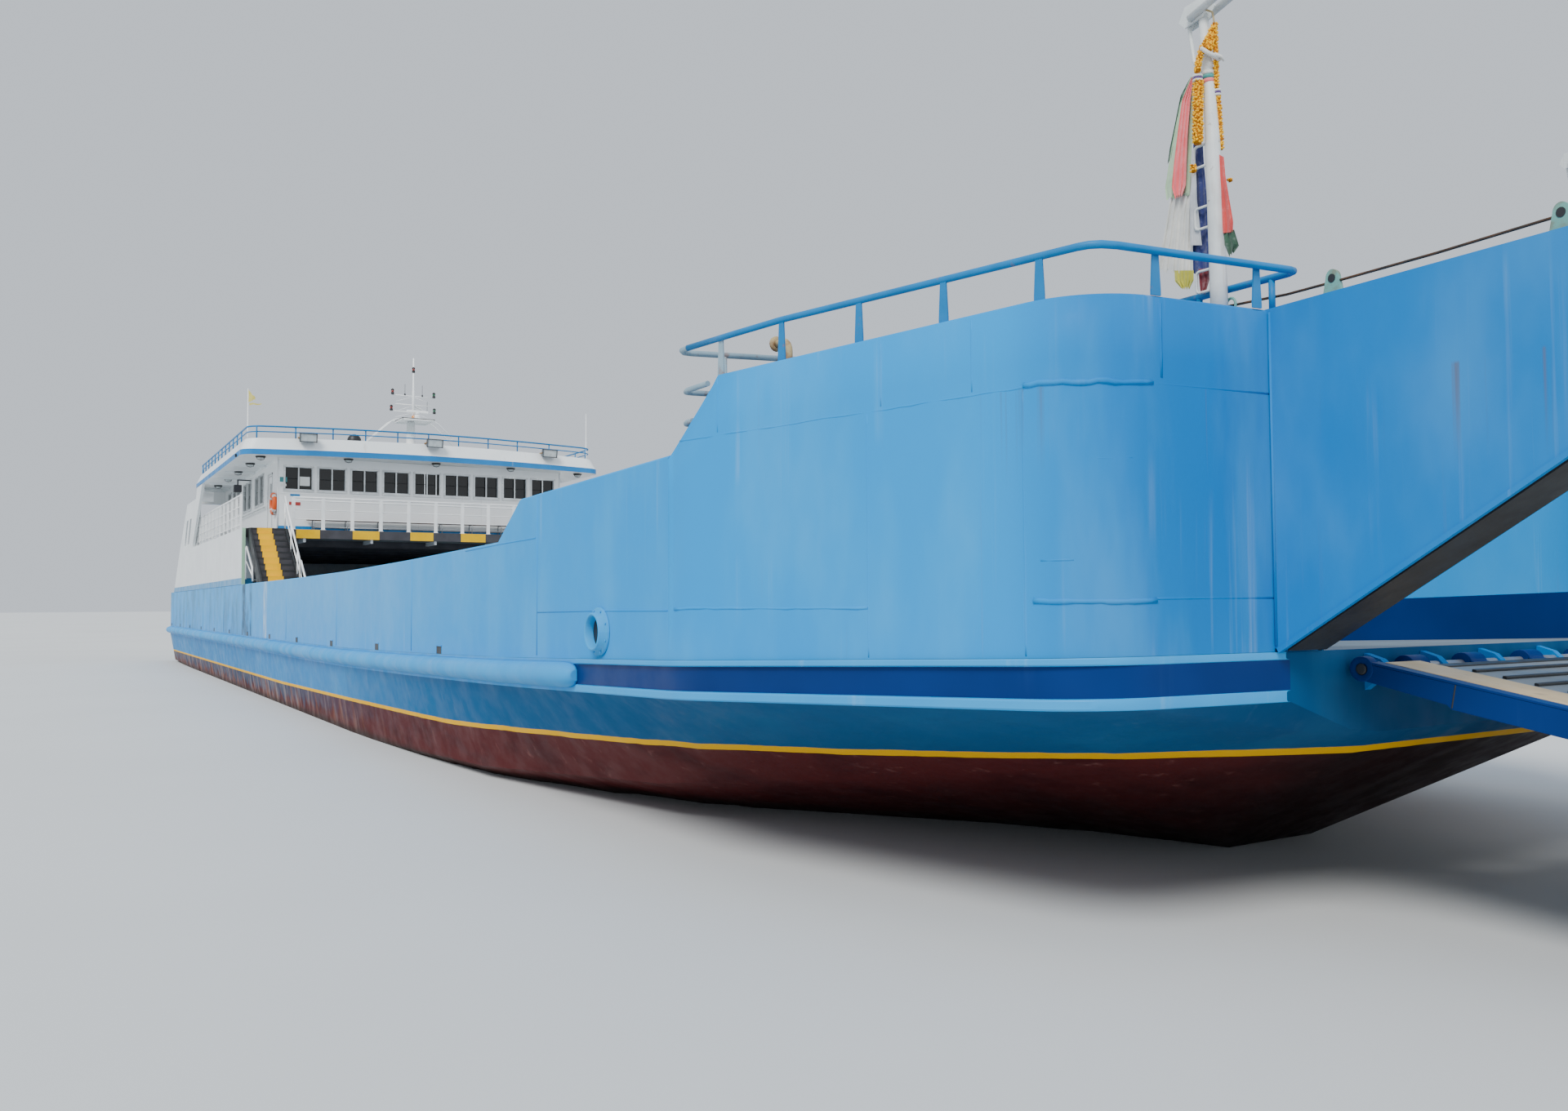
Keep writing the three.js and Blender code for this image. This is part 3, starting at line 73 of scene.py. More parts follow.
def camera():
    theta, roll, pitch = 0.5555, -0.0052, math.atan(0.04068)
    focal, width = 1466.2, 1920
    ahead = (-math.cos(theta) * math.cos(pitch), math.sin(theta) * math.cos(pitch), math.sin(pitch))
    forward = Vector(ahead)
    level = Vector((math.sin(theta), math.cos(theta), 0))
    upright = level.cross(forward)
    right = level * math.cos(roll) + upright * math.sin(roll)
    up = upright * math.cos(roll) - level * math.sin(roll)
    data = bpy.data.cameras.new("camera")
    data.sensor_width = 36
    data.lens = 36 * focal / width
    data.clip_end = 400
    cam = linked("camera", data)
    turn = Matrix((right, up, -forward)).transposed().to_4x4()
    cam.matrix_world = Matrix.Translation(EYE * K) @ turn
    bpy.context.scene.camera = cam


def sun(name, direction, strength, angle, colour=(1, 1, 1)):
    data = bpy.data.lights.new(name, "SUN")
    data.energy = strength
    data.angle = math.radians(angle)
    data.color = colour
    lamp = linked(name, data)
    lamp.rotation_mode = "QUATERNION"
    lamp.rotation_quaternion = Vector(direction).to_track_quat("-Z", "Y")


def studio():
    world = bpy.data.worlds.new("studio")
    bpy.context.scene.world = world
    world.use_nodes = True
    background = world.node_tree.nodes["Background"]
    background.inputs["Color"].default_value = (0.84, 0.91, 1.0, 1)
    background.inputs["Strength"].default_value = 0.85
    sun("key", (-0.5, 0.7, -0.9), 3.1, 25, (1, 0.98, 0.94))
    sun("fill", (-0.9, -0.5, -0.35), 0.5, 50)


# Materials


def linear(code):
    rgb = [int(code[i : i + 2], 16) / 255 for i in (1, 3, 5)]
    return tuple(c / 12.92 if c <= 0.04045 else ((c + 0.055) / 1.055) ** 2.4 for c in rgb) + (1,)


class Paint:
    """A node material on the ship's own coordinates, filed in MATS under its name."""

    def __init__(self, name, colour, rough=0.4, metal=0.0, coat=0.0, gloss=0.5):
        self.mat = MATS[name] = bpy.data.materials.new(name)
        self.mat.use_nodes = True
        self.tree = self.mat.node_tree
        self.shader = self.tree.nodes["Principled BSDF"]
        for key, value in (
            ("Metallic", metal), ("Coat Weight", coat), ("Coat Roughness", 0.15),
            ("Specular IOR Level", gloss),
        ):
            self.shader.inputs[key].default_value = value
        self.rough = rough
        self.colour = linear(colour)
        self.height = None
        self.where = self.node("ShaderNodeTexCoord").outputs["Object"]

    def node(self, kind, **inputs):
        made = self.tree.nodes.new(kind)
        for key, value in inputs.items():
            self.put(made.inputs[key.replace("_", " ")], value)
        return made

    def put(self, socket, value):
        if isinstance(value, bpy.types.NodeSocket):
            self.tree.links.new(value, socket)
        else:
            socket.default_value = value

    def at(self, scale):
        size = scale if hasattr(scale, "__len__") else (scale,) * 3
        made = self.node("ShaderNodeMapping", Vector=self.where, Scale=[s / K for s in size])
        return made.outputs["Vector"]

    def noise(self, scale, detail=3.0):
        place = self.at(scale)
        made = self.node("ShaderNodeTexNoise", Vector=place, Scale=1, Detail=detail, Roughness=0.55)
        return made.outputs["Fac"]

    def ramp(self, value, low, high, a=0.0, b=1.0):
        made = self.node("ShaderNodeMapRange")
        made.interpolation_type = "SMOOTHSTEP"
        for key, part in (
            ("Value", value), ("From Min", low), ("From Max", high), ("To Min", a), ("To Max", b),
        ):
            self.put(made.inputs[key], part)
        return made.outputs["Result"]

    def math(self, kind, *parts):
        made = self.node("ShaderNodeMath")
        made.operation = kind
        for socket, part in zip(made.inputs, parts):
            self.put(socket, part)
        return made.outputs[0]

    def product(self, *parts):
        return reduce(lambda a, b: self.math("MULTIPLY", a, b), parts)

    def axis(self, which):
        return self.node("ShaderNodeSeparateXYZ", Vector=self.at(1)).outputs[which]

    def attribute(self, name):
        made = self.node("ShaderNodeAttribute")
        made.attribute_name = name
        return made.outputs["Fac"]

    def tint(self, factor, colour):
        mix = self.node("ShaderNodeMix")
        mix.data_type = "RGBA"
        for index, value in ((0, factor), (6, self.colour), (7, linear(colour))):
            self.put(mix.inputs[index], value)
        self.colour = mix.outputs[2]
        return self

    def vary(self, colour, amount=0.5, scale=0.6, low=0.35, high=0.7):
        return self.tint(self.ramp(self.noise(scale), low, high, 0, amount), colour)

    def streaks(self, colour, amount=0.5, low=0.58, high=0.75, scale=(7, 7, 0.35)):
        run = self.ramp(self.noise(scale, 4.0), low, high)
        place = self.ramp(self.noise(0.7, 2.0), 0.45, 0.65)
        return self.tint(self.product(run, place, amount), colour)

    def bump(self, scale, depth, detail=3.0):
        """Adds relief of the given depth in millimetres of the ship."""
        part = self.math("MULTIPLY", self.noise(scale, detail), depth / 1000 * K)
        self.height = part if self.height is None else self.math("ADD", self.height, part)
        return self

    def done(self, spread=0.12):
        self.put(self.shader.inputs["Base Color"], self.colour)
        smooth, dull = max(self.rough - spread, 0.03), self.rough + spread
        self.put(self.shader.inputs["Roughness"], self.ramp(self.noise(2.5, 4.0), 0.3, 0.7, smooth, dull))
        if self.height is not None:
            relief = self.node("ShaderNodeBump", Height=self.height, Strength=1, Distance=1)
            self.put(self.shader.inputs["Normal"], relief.outputs["Normal"])


def hull_blue(name, colour, deep, painted_light):
    """Deep blue at the bow, with painted light along the side, a painted sky reflection lighter still aft, a
    deeper blue low on the side, and thin pale and rusty runs.
    """
    paint = Paint(name, colour, 0.5, gloss=0.06)
    x, z = paint.axis("X"), paint.axis("Z")
    paint.vary(deep, 0.7, (0.5, 0.9, 0.25))
    # Painted light: the side aft of the bow corner is lighter than the bow front, as lit plating;
    # painted_light sets how much.
    side = paint.ramp(x, 28.9, 29.9, painted_light, 0.0)
    paint.tint(side, "#0CA8F2")
    # Painted reflection: lighter still towards the stern, as bright sky seen at a grazing angle.
    paint.tint(paint.ramp(x, 6, 26, 0.4 * painted_light, 0.0), "#A9D8F4")
    # A deeper blue low on the side.
    paint.tint(paint.product(paint.ramp(z, 2.0, 3.0, 0.4, 0.0), side), "#0090E2")
    paint.tint(paint.ramp(paint.noise((0.9, 1.6, 0.35), 4.0), 0.42, 0.72, 0.0, 0.16), "#7CC8F2")
    paint.streaks("#D6E6F0", 0.12, 0.56, 0.74, (9, 9, 0.22)).streaks(RUST, 0.2, 0.64, 0.8, (13, 13, 0.25))
    under_ridge = paint.product(paint.ramp(z, 3.4, 4.15), paint.ramp(z, 4.17, 4.2, 1, 0))
    runs = paint.ramp(paint.noise((12, 12, 0.12), 2.0), 0.6, 0.72, 0.0, 0.6)
    return paint.tint(paint.product(under_ridge, paint.ramp(x, 28.6, 29.2), runs), "#6E5A4A")


def stained(paint):
    """Dirty plating beside the stairs and abaft them, with a pale run forward of it."""
    x, z = paint.axis("X"), paint.axis("Z")
    for low, high, scale, colour, amount in (
        (-4.7, -2.6, (1.2, 1.2, 1.0), "#3F4A50", 0.8), (-30.0, -4.9, (1.2, 1.2, 0.8), "#4E7690", 0.45),
        (-0.5, 0.15, (12, 12, 2.0), "#DCE6EA", 0.7),
    ):
        place = paint.product(
            paint.ramp(x, low - 0.15, low + 0.25), paint.ramp(x, high - 0.25, high + 0.15, 1, 0),
            paint.ramp(z, 3.3, 3.7, 1, 0),
        )
        paint.tint(paint.product(place, paint.ramp(paint.noise(scale, 4.0), 0.38, 0.66, 0, amount)), colour)
    return paint


def hull_bands():
    """Blue above a yellow line and brown-red below it, with scum at the water and near-black along the keel
    at the bow. The blue darkens towards the bow as painted shade.
    """
    paint = hull_blue("hull_bands", "#0064A6", "#005A98", 0.25)
    x, z = paint.axis("X"), paint.axis("Z")
    # Painted shade: the blue plating darkens towards the bow, as plating over dark water.
    paint.tint(paint.ramp(x, 6, 22, 0, 0.75), "#00436B")
    line = paint.attribute("line")
    uneven = paint.math("MULTIPLY", paint.math("SUBTRACT", paint.noise(3), 0.5), 0.012)
    edge = paint.math("ADD", line, uneven)
    paint.tint(paint.ramp(edge, 0.032, 0.037, 1, 0), "#F8BC00")
    below = paint.ramp(edge, -0.037, -0.032, 1, 0)
    paint.tint(below, "#592425")
    patches = paint.ramp(paint.noise((1.2, 1.2, 2.5), 4.0), 0.4, 0.7, 0, 0.65)
    paint.tint(paint.product(below, patches), "#3C171C")
    paint.tint(paint.product(below, paint.ramp(paint.noise((6, 6, 0.5), 4.0), 0.6, 0.78, 0, 0.4)), "#A0706A")
    aft = paint.product(below, paint.ramp(x, 0, 16, 1, 0))
    depth = paint.math("ADD", line, paint.noise((3, 3, 0.4), 4.0))
    for marks, colour in (
        (paint.ramp(depth, 0.05, 0.25, 0, 0.85), "#3B4A63"),
        (paint.ramp(paint.noise((3.5, 3.5, 0.25), 4.0), 0.52, 0.7, 0, 0.6), "#A8683E"),
        (paint.ramp(paint.noise((4.5, 4.5, 0.2), 4.0), 0.5, 0.72, 0, 0.5), "#B9A39A"),
    ):
        paint.tint(paint.product(aft, marks), colour)
    paint.tint(paint.product(below, paint.ramp(z, 0.02, 0.2, 0.8, 0)), "#2A2420")
    # Near-black along the keel's flat at the bow, below the yellow line.
    paint.tint(paint.product(below, paint.attribute("stem"), 0.85), "#171314")
    paint.bump(0.9, 6, 2.0).bump(25, 0.6).done(0.1)


def casing_paint():
    """White plating with a light-blue foot and a pale green forward edge."""
    paint = Paint("casing_paint", "#F2F6F7", 0.4, coat=0.1)
    paint.vary("#E2E8EA", 0.5, 0.8).streaks(RUST, 0.3, 0.6, 0.78, (5, 5, 0.3))
    paint.tint(paint.ramp(paint.axis("Z"), 3.49, 3.5, 1, 0), "#3F97CC")
    paint.tint(paint.ramp(paint.axis("X"), -4.86, -4.85), "#9CC7A8")
    paint.bump(1.2, 3, 2.0).bump(40, 0.4).done()


def tread_plate():
    """Grey chequer plate with darker and brownish worn patches."""
    paint = Paint("tread_plate", "#8F979B", 0.5, 0.25)
    paint.vary("#6D757A", 0.7, 0.9).vary("#A08E7A", 0.3, 2.6, 0.55, 0.75)
    bars = paint.node("ShaderNodeTexVoronoi", Vector=paint.at(16), Scale=1)
    paint.height = paint.product(paint.ramp(bars.outputs["Distance"], 0.15, 0.3, 1, 0), 0.002 * K)
    paint.bump(1.2, 3).done()


def cloth_paint(name, colour, deep):
    """Thin woven cloth with a fine cross weave and a soft sheen."""
    paint = Paint(name, colour, 0.75)
    paint.shader.inputs["Sheen Weight"].default_value = 0.3
    paint.vary(deep, 0.6, 6).vary("#FFFFFF", 0.08, 22, 0.5, 0.7)
    slant = paint.math("ADD", paint.axis("X"), paint.axis("Y"))
    warp, weft = (paint.math("SINE", paint.product(way, 1500.0)) for way in (paint.axis("Z"), slant))
    paint.height = paint.product(warp, weft, 0.0003 * K)
    paint.bump(90, 0.6).done()


def materials():
    stained(hull_blue("hull_blue", "#0079C2", "#0071B8", 0.6)).bump(0.9, 5, 2.0).bump(30, 0.4).done(0.08)
    hull_bands()
    casing_paint()
    tread_plate()
    white = Paint("deckhouse_white", "#FAFCFC", 0.38, coat=0.15).vary("#EEF3F5", 0.5, 0.35)
    white.streaks(RUST, 0.3, 0.62, 0.8, (11, 11, 0.25)).bump(0.9, 3.0, 2.0).bump(30, 0.5).done(0.08)
    band = Paint("band_blue", "#002A66", 0.4, gloss=0.15).vary("#003478", 0.6, 0.6)
    band.streaks("#5F7FB5", 0.06).bump(1, 4, 2).done(0.08)
    pale = Paint("pale_strip", "#2E9FE0", 0.45, gloss=0.12).vary("#2492D6", 0.5, 1.2)
    pale.streaks("#D8E6EE", 0.25).bump(20, 0.8).done()
    stripe = Paint("stripe_blue", "#1C7FC4", 0.4, gloss=0.25).vary("#2475B0", 0.5, 1.5)
    stripe.streaks("#C9D9E2", 0.2).bump(40, 0.3).done()
    roof = Paint("roof_paint", "#F0F5F7", 0.4, coat=0.1).vary("#DFE7EA", 0.5, 0.8)
    roof.streaks(RUST, 0.35, 0.6, 0.78, (5, 5, 0.3)).bump(1.2, 3, 2.0).bump(40, 0.4).done()
    post = Paint("post_white", "#DDE2E2", 0.42, coat=0.1).vary("#C3CACB", 0.6, 4)
    post.streaks(RUST, 0.5, 0.5, 0.68, (16, 16, 1.2)).vary("#6E4A30", 0.7, 9, 0.64, 0.74).bump(60, 0.8).done()
    yellow = Paint("line_yellow", "#F5C200", 0.42, gloss=0.15).vary("#E3AE00", 0.5, 2.5)
    yellow.streaks("#6F5A20", 0.3).bump(40, 0.4).done()
    bottom = Paint("antifouling", "#6B2E33", 0.55).vary("#4A2024", 0.7, 1.2)
    bottom.streaks("#A0706A", 0.3).bump(6, 3).done()
    Paint("cabin_glass", "#0A0E10", 0.08, gloss=0.3).vary("#1B2428", 0.4, 0.9).done(0.02)
    Paint("studio_floor", "#D2D5D6", 0.8, gloss=0.2).vary("#CBCECF", 0.5, 0.1).done(0.05)
    # Name, colour, constants as Paint takes them, tones as vary takes them, relief as bump takes it
    for name, colour, kind, tones, relief in (
        ("rail_blue", "#0F7AB8", dict(gloss=0.25), [("#0B6CA6", 0.5, 3), (RUST, 0.35, 9, 0.64, 0.74)],
         (40, 0.3)),
        ("rail_grey", "#8FA9B8", dict(rough=0.5), [("#6F8C9C", 0.5, 3), (RUST, 0.6, 7, 0.58, 0.7)],
         (40, 0.5)),
        ("plain_white", "#FAFCFC", dict(rough=0.35, coat=0.15), [("#D9E0E2", 0.5, 2)], (40, 0.3)),
        ("deck_grey", "#7E878C", dict(rough=0.6), [("#626B70", 0.7, 1.1), ("#8C6A50", 0.25, 2.3, 0.6, 0.8)],
         (45, 1.2)),
        ("charcoal", "#38383E", dict(rough=0.55), [("#4A4A50", 0.6, 2.2)], (40, 0.8)),
        ("cream_strip", "#D9C29A", dict(rough=0.6), [("#B79E74", 0.6, 1.8), ("#5B5245", 0.35, 4, 0.6, 0.75)],
         (40, 0.8)),
        ("dark_iron", "#1E2023", dict(rough=0.5), [("#2E3134", 0.6, 3)], (50, 0.6)),
        ("rusty_edge", "#B5A277", dict(rough=0.7), [("#7A4A2C", 0.8, 6, 0.4, 0.6)], (60, 1.5)),
        ("eye_green", "#6FA79B", dict(rough=0.55), [("#7E6A4C", 0.6, 9, 0.45, 0.65)], (60, 0.8)),
        ("galvanised", "#A9AEB2", dict(metal=0.7), [("#85796C", 0.5, 5, 0.5, 0.7)], (60, 0.4)),
        ("wire_rope", "#4A4038", dict(rough=0.6, metal=0.6), [("#7A5236", 0.6, 12)], (90, 3)),
        ("window_frame", "#D5D9DA", dict(rough=0.35, metal=0.4), [("#B4B9BA", 0.5, 3)], (60, 0.3)),
        ("window_rubber", "#1B1C1D", dict(rough=0.6), [("#2C2D2E", 0.5, 5)], (90, 0.3)),
        ("blank_poster", "#3F8F93", dict(rough=0.5), [("#2F757C", 0.6, 2)], (20, 0.4)),
        ("blank_plate_red", "#B33A34", dict(rough=0.45), [("#9A2E2A", 0.6, 3)], (40, 0.3)),
        ("rust_run", "#C9731E", dict(rough=0.7), [("#E4EAEB", 0.9, 9, 0.42, 0.58)], (60, 0.5)),
        ("roof_top_grey", "#C4CACC", dict(rough=0.6),
         [("#A5ACAE", 0.6, 0.6), ("#8C6A50", 0.2, 1.8, 0.6, 0.8)], (20, 2)),
        ("ring_orange", "#E8601C", dict(rough=0.5), [("#CF4E12", 0.6, 3)], (50, 0.8)),
        ("reflective_tape", "#DADDDE", dict(rough=0.3, metal=0.3), [("#BFC4C6", 0.5, 8)], (120, 0.3)),
        ("lamp_steel", "#5F666B", dict(rough=0.45, metal=0.5), [("#7A5C48", 0.5, 5, 0.5, 0.7)], (60, 0.5)),
        ("raft_shell", "#E9ECEA", dict(rough=0.35, coat=0.3), [("#D2D6D3", 0.5, 1.5)], (30, 0.8)),
        ("flower_orange", "#FFC71C", dict(rough=0.7, gloss=0.2), [("#F7AE14", 0.7, 14)], (160, 3)),
        ("flower_deep_orange", "#D58A14", dict(rough=0.7, gloss=0.2), [("#8A4C10", 0.7, 14)], (160, 3)),
        ("twine", "#C9B58A", dict(rough=0.8), [("#9E8A60", 0.7, 30)], (200, 2)),
        ("bench_wood", "#5A3A30", dict(rough=0.5), [("#3E2722", 0.7, (2, 1, 20))], ((9, 1.5, 60), 1.5)),
        ("seat_red", "#6B1F22", dict(rough=0.45), [("#54171A", 0.6, 3)], (40, 1.0)),
        ("propeller_bronze", "#8E6B3A", dict(rough=0.3, metal=0.9), [("#6B5330", 0.6, 3)], (20, 1.0)),
    ):
        paint = Paint(name, colour, **kind)
        for tone in tones:
            paint.vary(*tone)
        paint.bump(*relief).done()
    for name, colour, deep, rough, coat, scale in (
        ("lamp_glass", "#C9D2D4", "#9AA5A8", 0.12, 0.5, 6), ("lens_red", "#8E1B16", "#6C120F", 0.15, 0.6, 8),
        ("lens_green", "#1C6B4A", "#124D35", 0.15, 0.6, 8),
        ("lens_amber", "#D9861A", "#B96D10", 0.15, 0.6, 8),
    ):
        Paint(name, colour, rough, coat=coat).vary(deep, 0.5, scale).done(0.04)
    cloth_paint("flag_yellow", "#CFC56A", "#B5A63F")
    for name, colour, deep in (
        ("white", "#E4E4DE", "#C6C8C4"), ("purple", "#5D3F7E", "#46305F"), ("green", "#2F5B44", "#1F4232"),
        ("pale_green", "#B4D2AE", "#93BC93"), ("coral", "#F77F84", "#EA5A66"), ("grey", "#C9CDD1", "#A7ADB3"),
        ("navy", "#27357A", "#1B2558"), ("yellow", "#C9C44A", "#A3A233"), ("wine", "#7E2432", "#5D1824"),
        ("red", "#DA4A46", "#C0383A"), ("teal", "#3F9A96", "#2F7D7B"),
    ):
        cloth_paint(f"cloth_{name}", colour, deep)


# Shapes


def soften(obj, bevel):
    mod = obj.modifiers.new("edges", "BEVEL")
    mod.width = bevel * K
    mod.segments = 2
    mod.limit_method = "ANGLE"
    mod.angle_limit = math.radians(35)


class Shape:
    """A mesh gathered from simple closed forms."""

    def __init__(self):
        self.verts, self.faces, self.mats, self.smooth = [], [], [], []
        self.values = {}

    def face(self, corners, mat=0, smooth=False):
        self.faces.append(list(corners))
        self.mats.append(mat)
        self.smooth.append(smooth)

    def grid(self, rows, mat=0, smooth=True, wrap=False, caps=False):
        """Faces between rows of points. mat is a slot, or a list with one slot per strip along the rows."""
        width, start = len(rows[0]), len(self.verts)
        self.verts += [tuple(p) for row in rows for p in row]
        end = len(self.verts)
        slots = mat if isinstance(mat, list) else [mat] * width
        for j in range(width if wrap else width - 1):
            for i in range(start, end - width, width):
                a, b = i + j, i + (j + 1) % width
                self.face((a, b, b + width, a + width), slots[j], smooth)
        if caps:
            self.face(range(start + width - 1, start - 1, -1), slots[0])
            self.face(range(end - width, end), slots[0])
        return self

    def box(self, x, y, z, mat=0):
        start = len(self.verts)
        self.verts += [(a, b, c) for a in sorted(x) for b in sorted(y) for c in sorted(z)]
        for face in ((0, 1, 3, 2), (4, 6, 7, 5), (0, 4, 5, 1), (2, 3, 7, 6), (0, 2, 6, 4), (1, 5, 7, 3)):
            self.face([start + i for i in face], mat)

    def prism(self, outline, axis, span, mat=0):
        """A closed outline pushed along axis 0, 1 or 2. Its two numbers are the other axes in order."""
        area = sum(a[0] * b[1] - b[0] * a[1] for a, b in zip(outline, outline[1:] + outline[:1]))
        ring = outline if (area > 0) != (axis == 1) else outline[::-1]
        start, count = len(self.verts), len(ring)
        self.verts += [(*p[:axis], level, *p[axis:]) for level in sorted(span) for p in ring]
        for i in range(count):
            a, b = start + i, start + (i + 1) % count
            self.face((a, b, b + count, a + count), mat)
        self.face(range(start + count - 1, start - 1, -1), mat)
        self.face(range(start + count, start + 2 * count), mat)

    def tube(self, points, radius, sides=8, mat=0, closed=False):
        """A round tube with mitred corners. radius may be one number or one per point."""
        path = [Vector(p) for p in points]
        count = len(path)
        radii = radius if hasattr(radius, "__len__") else [radius] * count
        steps = [(path[(i + 1) % count] - path[i]).normalized() for i in range(count)]
        tangents = [(steps[i - 1] + steps[i]).normalized() for i in range(count)]
        if not closed:
            tangents[0], tangents[-1] = steps[0], steps[-2]
        normal = tangents[0].orthogonal().normalized()
        rows = []
        for i, (point, tangent) in enumerate(zip(path, tangents)):
            if i:
                normal = (normal - tangent * normal.dot(tangent)).normalized()
            side = tangent.cross(normal)
            mitre = 1 / max(steps[i - 1].dot(tangent), 0.5) if 0 < i < count - 1 else 1.0
            reach = radii[i] * (mitre if mitre < 1.2 else 1.1)
            turns = angles(sides)[:-1]
            rows.append([point + (normal * math.cos(a) + side * math.sin(a)) * reach for a in turns])
        return self.grid(rows + rows[:1] * closed, mat, True, True, not closed)

    def lathe(self, profile, centre, axis, sides=16, mat=0):
        """profile is rows of radius and distance along the axis."""
        along = Vector(axis)
        normal = along.orthogonal().normalized()
        side = along.cross(normal)
        rounds = [normal * math.cos(a) + side * math.sin(a) for a in angles(sides)[:-1]]
        rows = [[Vector(centre) + along * t + spoke * max(r, 1e-4) for spoke in rounds] for r, t in profile]
        return self.grid(rows, mat, True, True, True)

    def ball(self, centre, radius, mat=0, rings=5, sides=8, squash=1.0):
        profile = [(radius * math.sin(a), -radius * squash * math.cos(a)) for a in angles(rings, 0, 180)]
        return self.lathe(profile, centre, UP, sides, mat)

    def build(self, name, mats, replaces=(), bevel=0.0, body="ship", mirror=False):
        mesh = bpy.data.meshes.new(name)
        across = -K if mirror else K
        faces = [f[::-1] for f in self.faces] if mirror else self.faces
        mesh.from_pydata([(x * K, y * across, z * K) for x, y, z in self.verts], [], faces)
        for slot in mats:
            mesh.materials.append(MATS[slot])
        mesh.polygons.foreach_set("material_index", self.mats)
        mesh.polygons.foreach_set("use_smooth", self.smooth)
        for key, values in self.values.items():
            mesh.attributes.new(key, "FLOAT", "POINT").data.foreach_set("value", values)
        mesh.update()
        obj = linked(name, mesh)
        if bevel:
            soften(obj, bevel)
        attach(obj, body)
        if replaces:
            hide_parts(*replaces)
        return obj

    def pair(self, name, mats, replaces=None, bevel=0.0):
        for side in SIDES:
            nodes = [f"{replaces}_{side}"] if replaces else []
            self.build(f"{name}_{side}", mats, nodes, bevel, mirror=side == "port")


# The hull's lines: x against a value

DECK = [(-30, 1.72), (5, 1.72), (10, 1.74), (15, 1.8), (20, 1.89), (25, 2.03), (30, 2.2)]
CHINE_HALF = [
    (-30, 4.7), (-28.4, 5.85), (10, 5.87), (15, 5.8), (18, 5.68), (22.75, 5.05), (25.75, 4.15),
    (27.5, 3.6), (28.5, 3.3), (29.7, 2.6), (30, 2.45),
]
CHINE_Z = [
    (-30, 0.12), (-22, 0), (10, -0.05), (15, 0.1), (18, 0.18), (22.75, 0.45), (25.75, 0.8),
    (27.5, 1.04), (28.5, 1.2), (29.7, 1.48), (30, 1.56),
]
KEEL_HALF = [
    (-30, 4.2), (-28.4, 4.6), (10, 4.6), (15, 3.6), (18, 2.2), (21, 0.8), (23, 0.3), (25, 0.3),
    (27.45, 0.7), (30, 2.05),
]
KEEL_Z = [
    (-30, -0.15), (-26, -0.6), (-22, -1.2), (-17, -1.6), (17, -1.6), (19, -1.45), (21, -1.2),
    (23, -0.83), (25, -0.42), (27.45, 0), (30, 1.52),
]
YELLOW = [(-30, 0.55), (2, 0.6), (17, 0.77), (23.5, 1.03), (27.2, 1.2), (30, 1.35)]
HALF_BEAM, BAND, PLATE = 6.07, 0.38, 0.1
CORNER = around((29.027, 4.386), (0.815, 0.815), angles(16, 77.05, 7.5))
STERN_PLAN = [
    (-30, 4.9), (-29.9, 5.2), (-29.7, 5.5), (-29.45, 5.74), (-29.2, 5.9), (-28.8, 6.02), (-28.4, HALF_BEAM),
]
BOW_PLAN = [(25.2, HALF_BEAM), (25.4, 6.055), (25.6, 6.015)] + CORNER + [(30, 3.2)]
SIDE = STERN_PLAN + BOW_PLAN


def look(table, x):
    for (x0, v0), (x1, v1) in zip(table, table[1:]):
        if x <= x1:
            return v0 + (v1 - v0) * max(x - x0, 0) / (x1 - x0)
    return table[-1][1]


def deck(x):
    return look(DECK, x)


def refined(table, step):
    """The table's rows with others between them, so that no two are further apart than step."""
    rows = []
    for (x0, y0), (x1, y1) in zip(table, table[1:]):
        count = max(1, math.ceil((x1 - x0) / step))
        rows += [(x0 + (x1 - x0) * i / count, y0 + (y1 - y0) * i / count) for i in range(count)]
    return rows + [table[-1]]


def offset(path, distance):
    """The plan path moved to its right by distance."""
    ways = [Vector((b[1] - a[1], a[0] - b[0])).normalized() for a, b in zip(path, path[1:])]
    out = []
    for (x, y), before, after in zip(path, ways[:1] + ways, ways + ways[-1:]):
        mid = (before + after).normalized()
        reach = distance / max(mid.dot(before), 0.5)
        out.append((x + mid.x * reach, y + mid.y * reach))
    return out


def starboard(rows):
    return [(x, -y) for x, y in rows]


# Hull


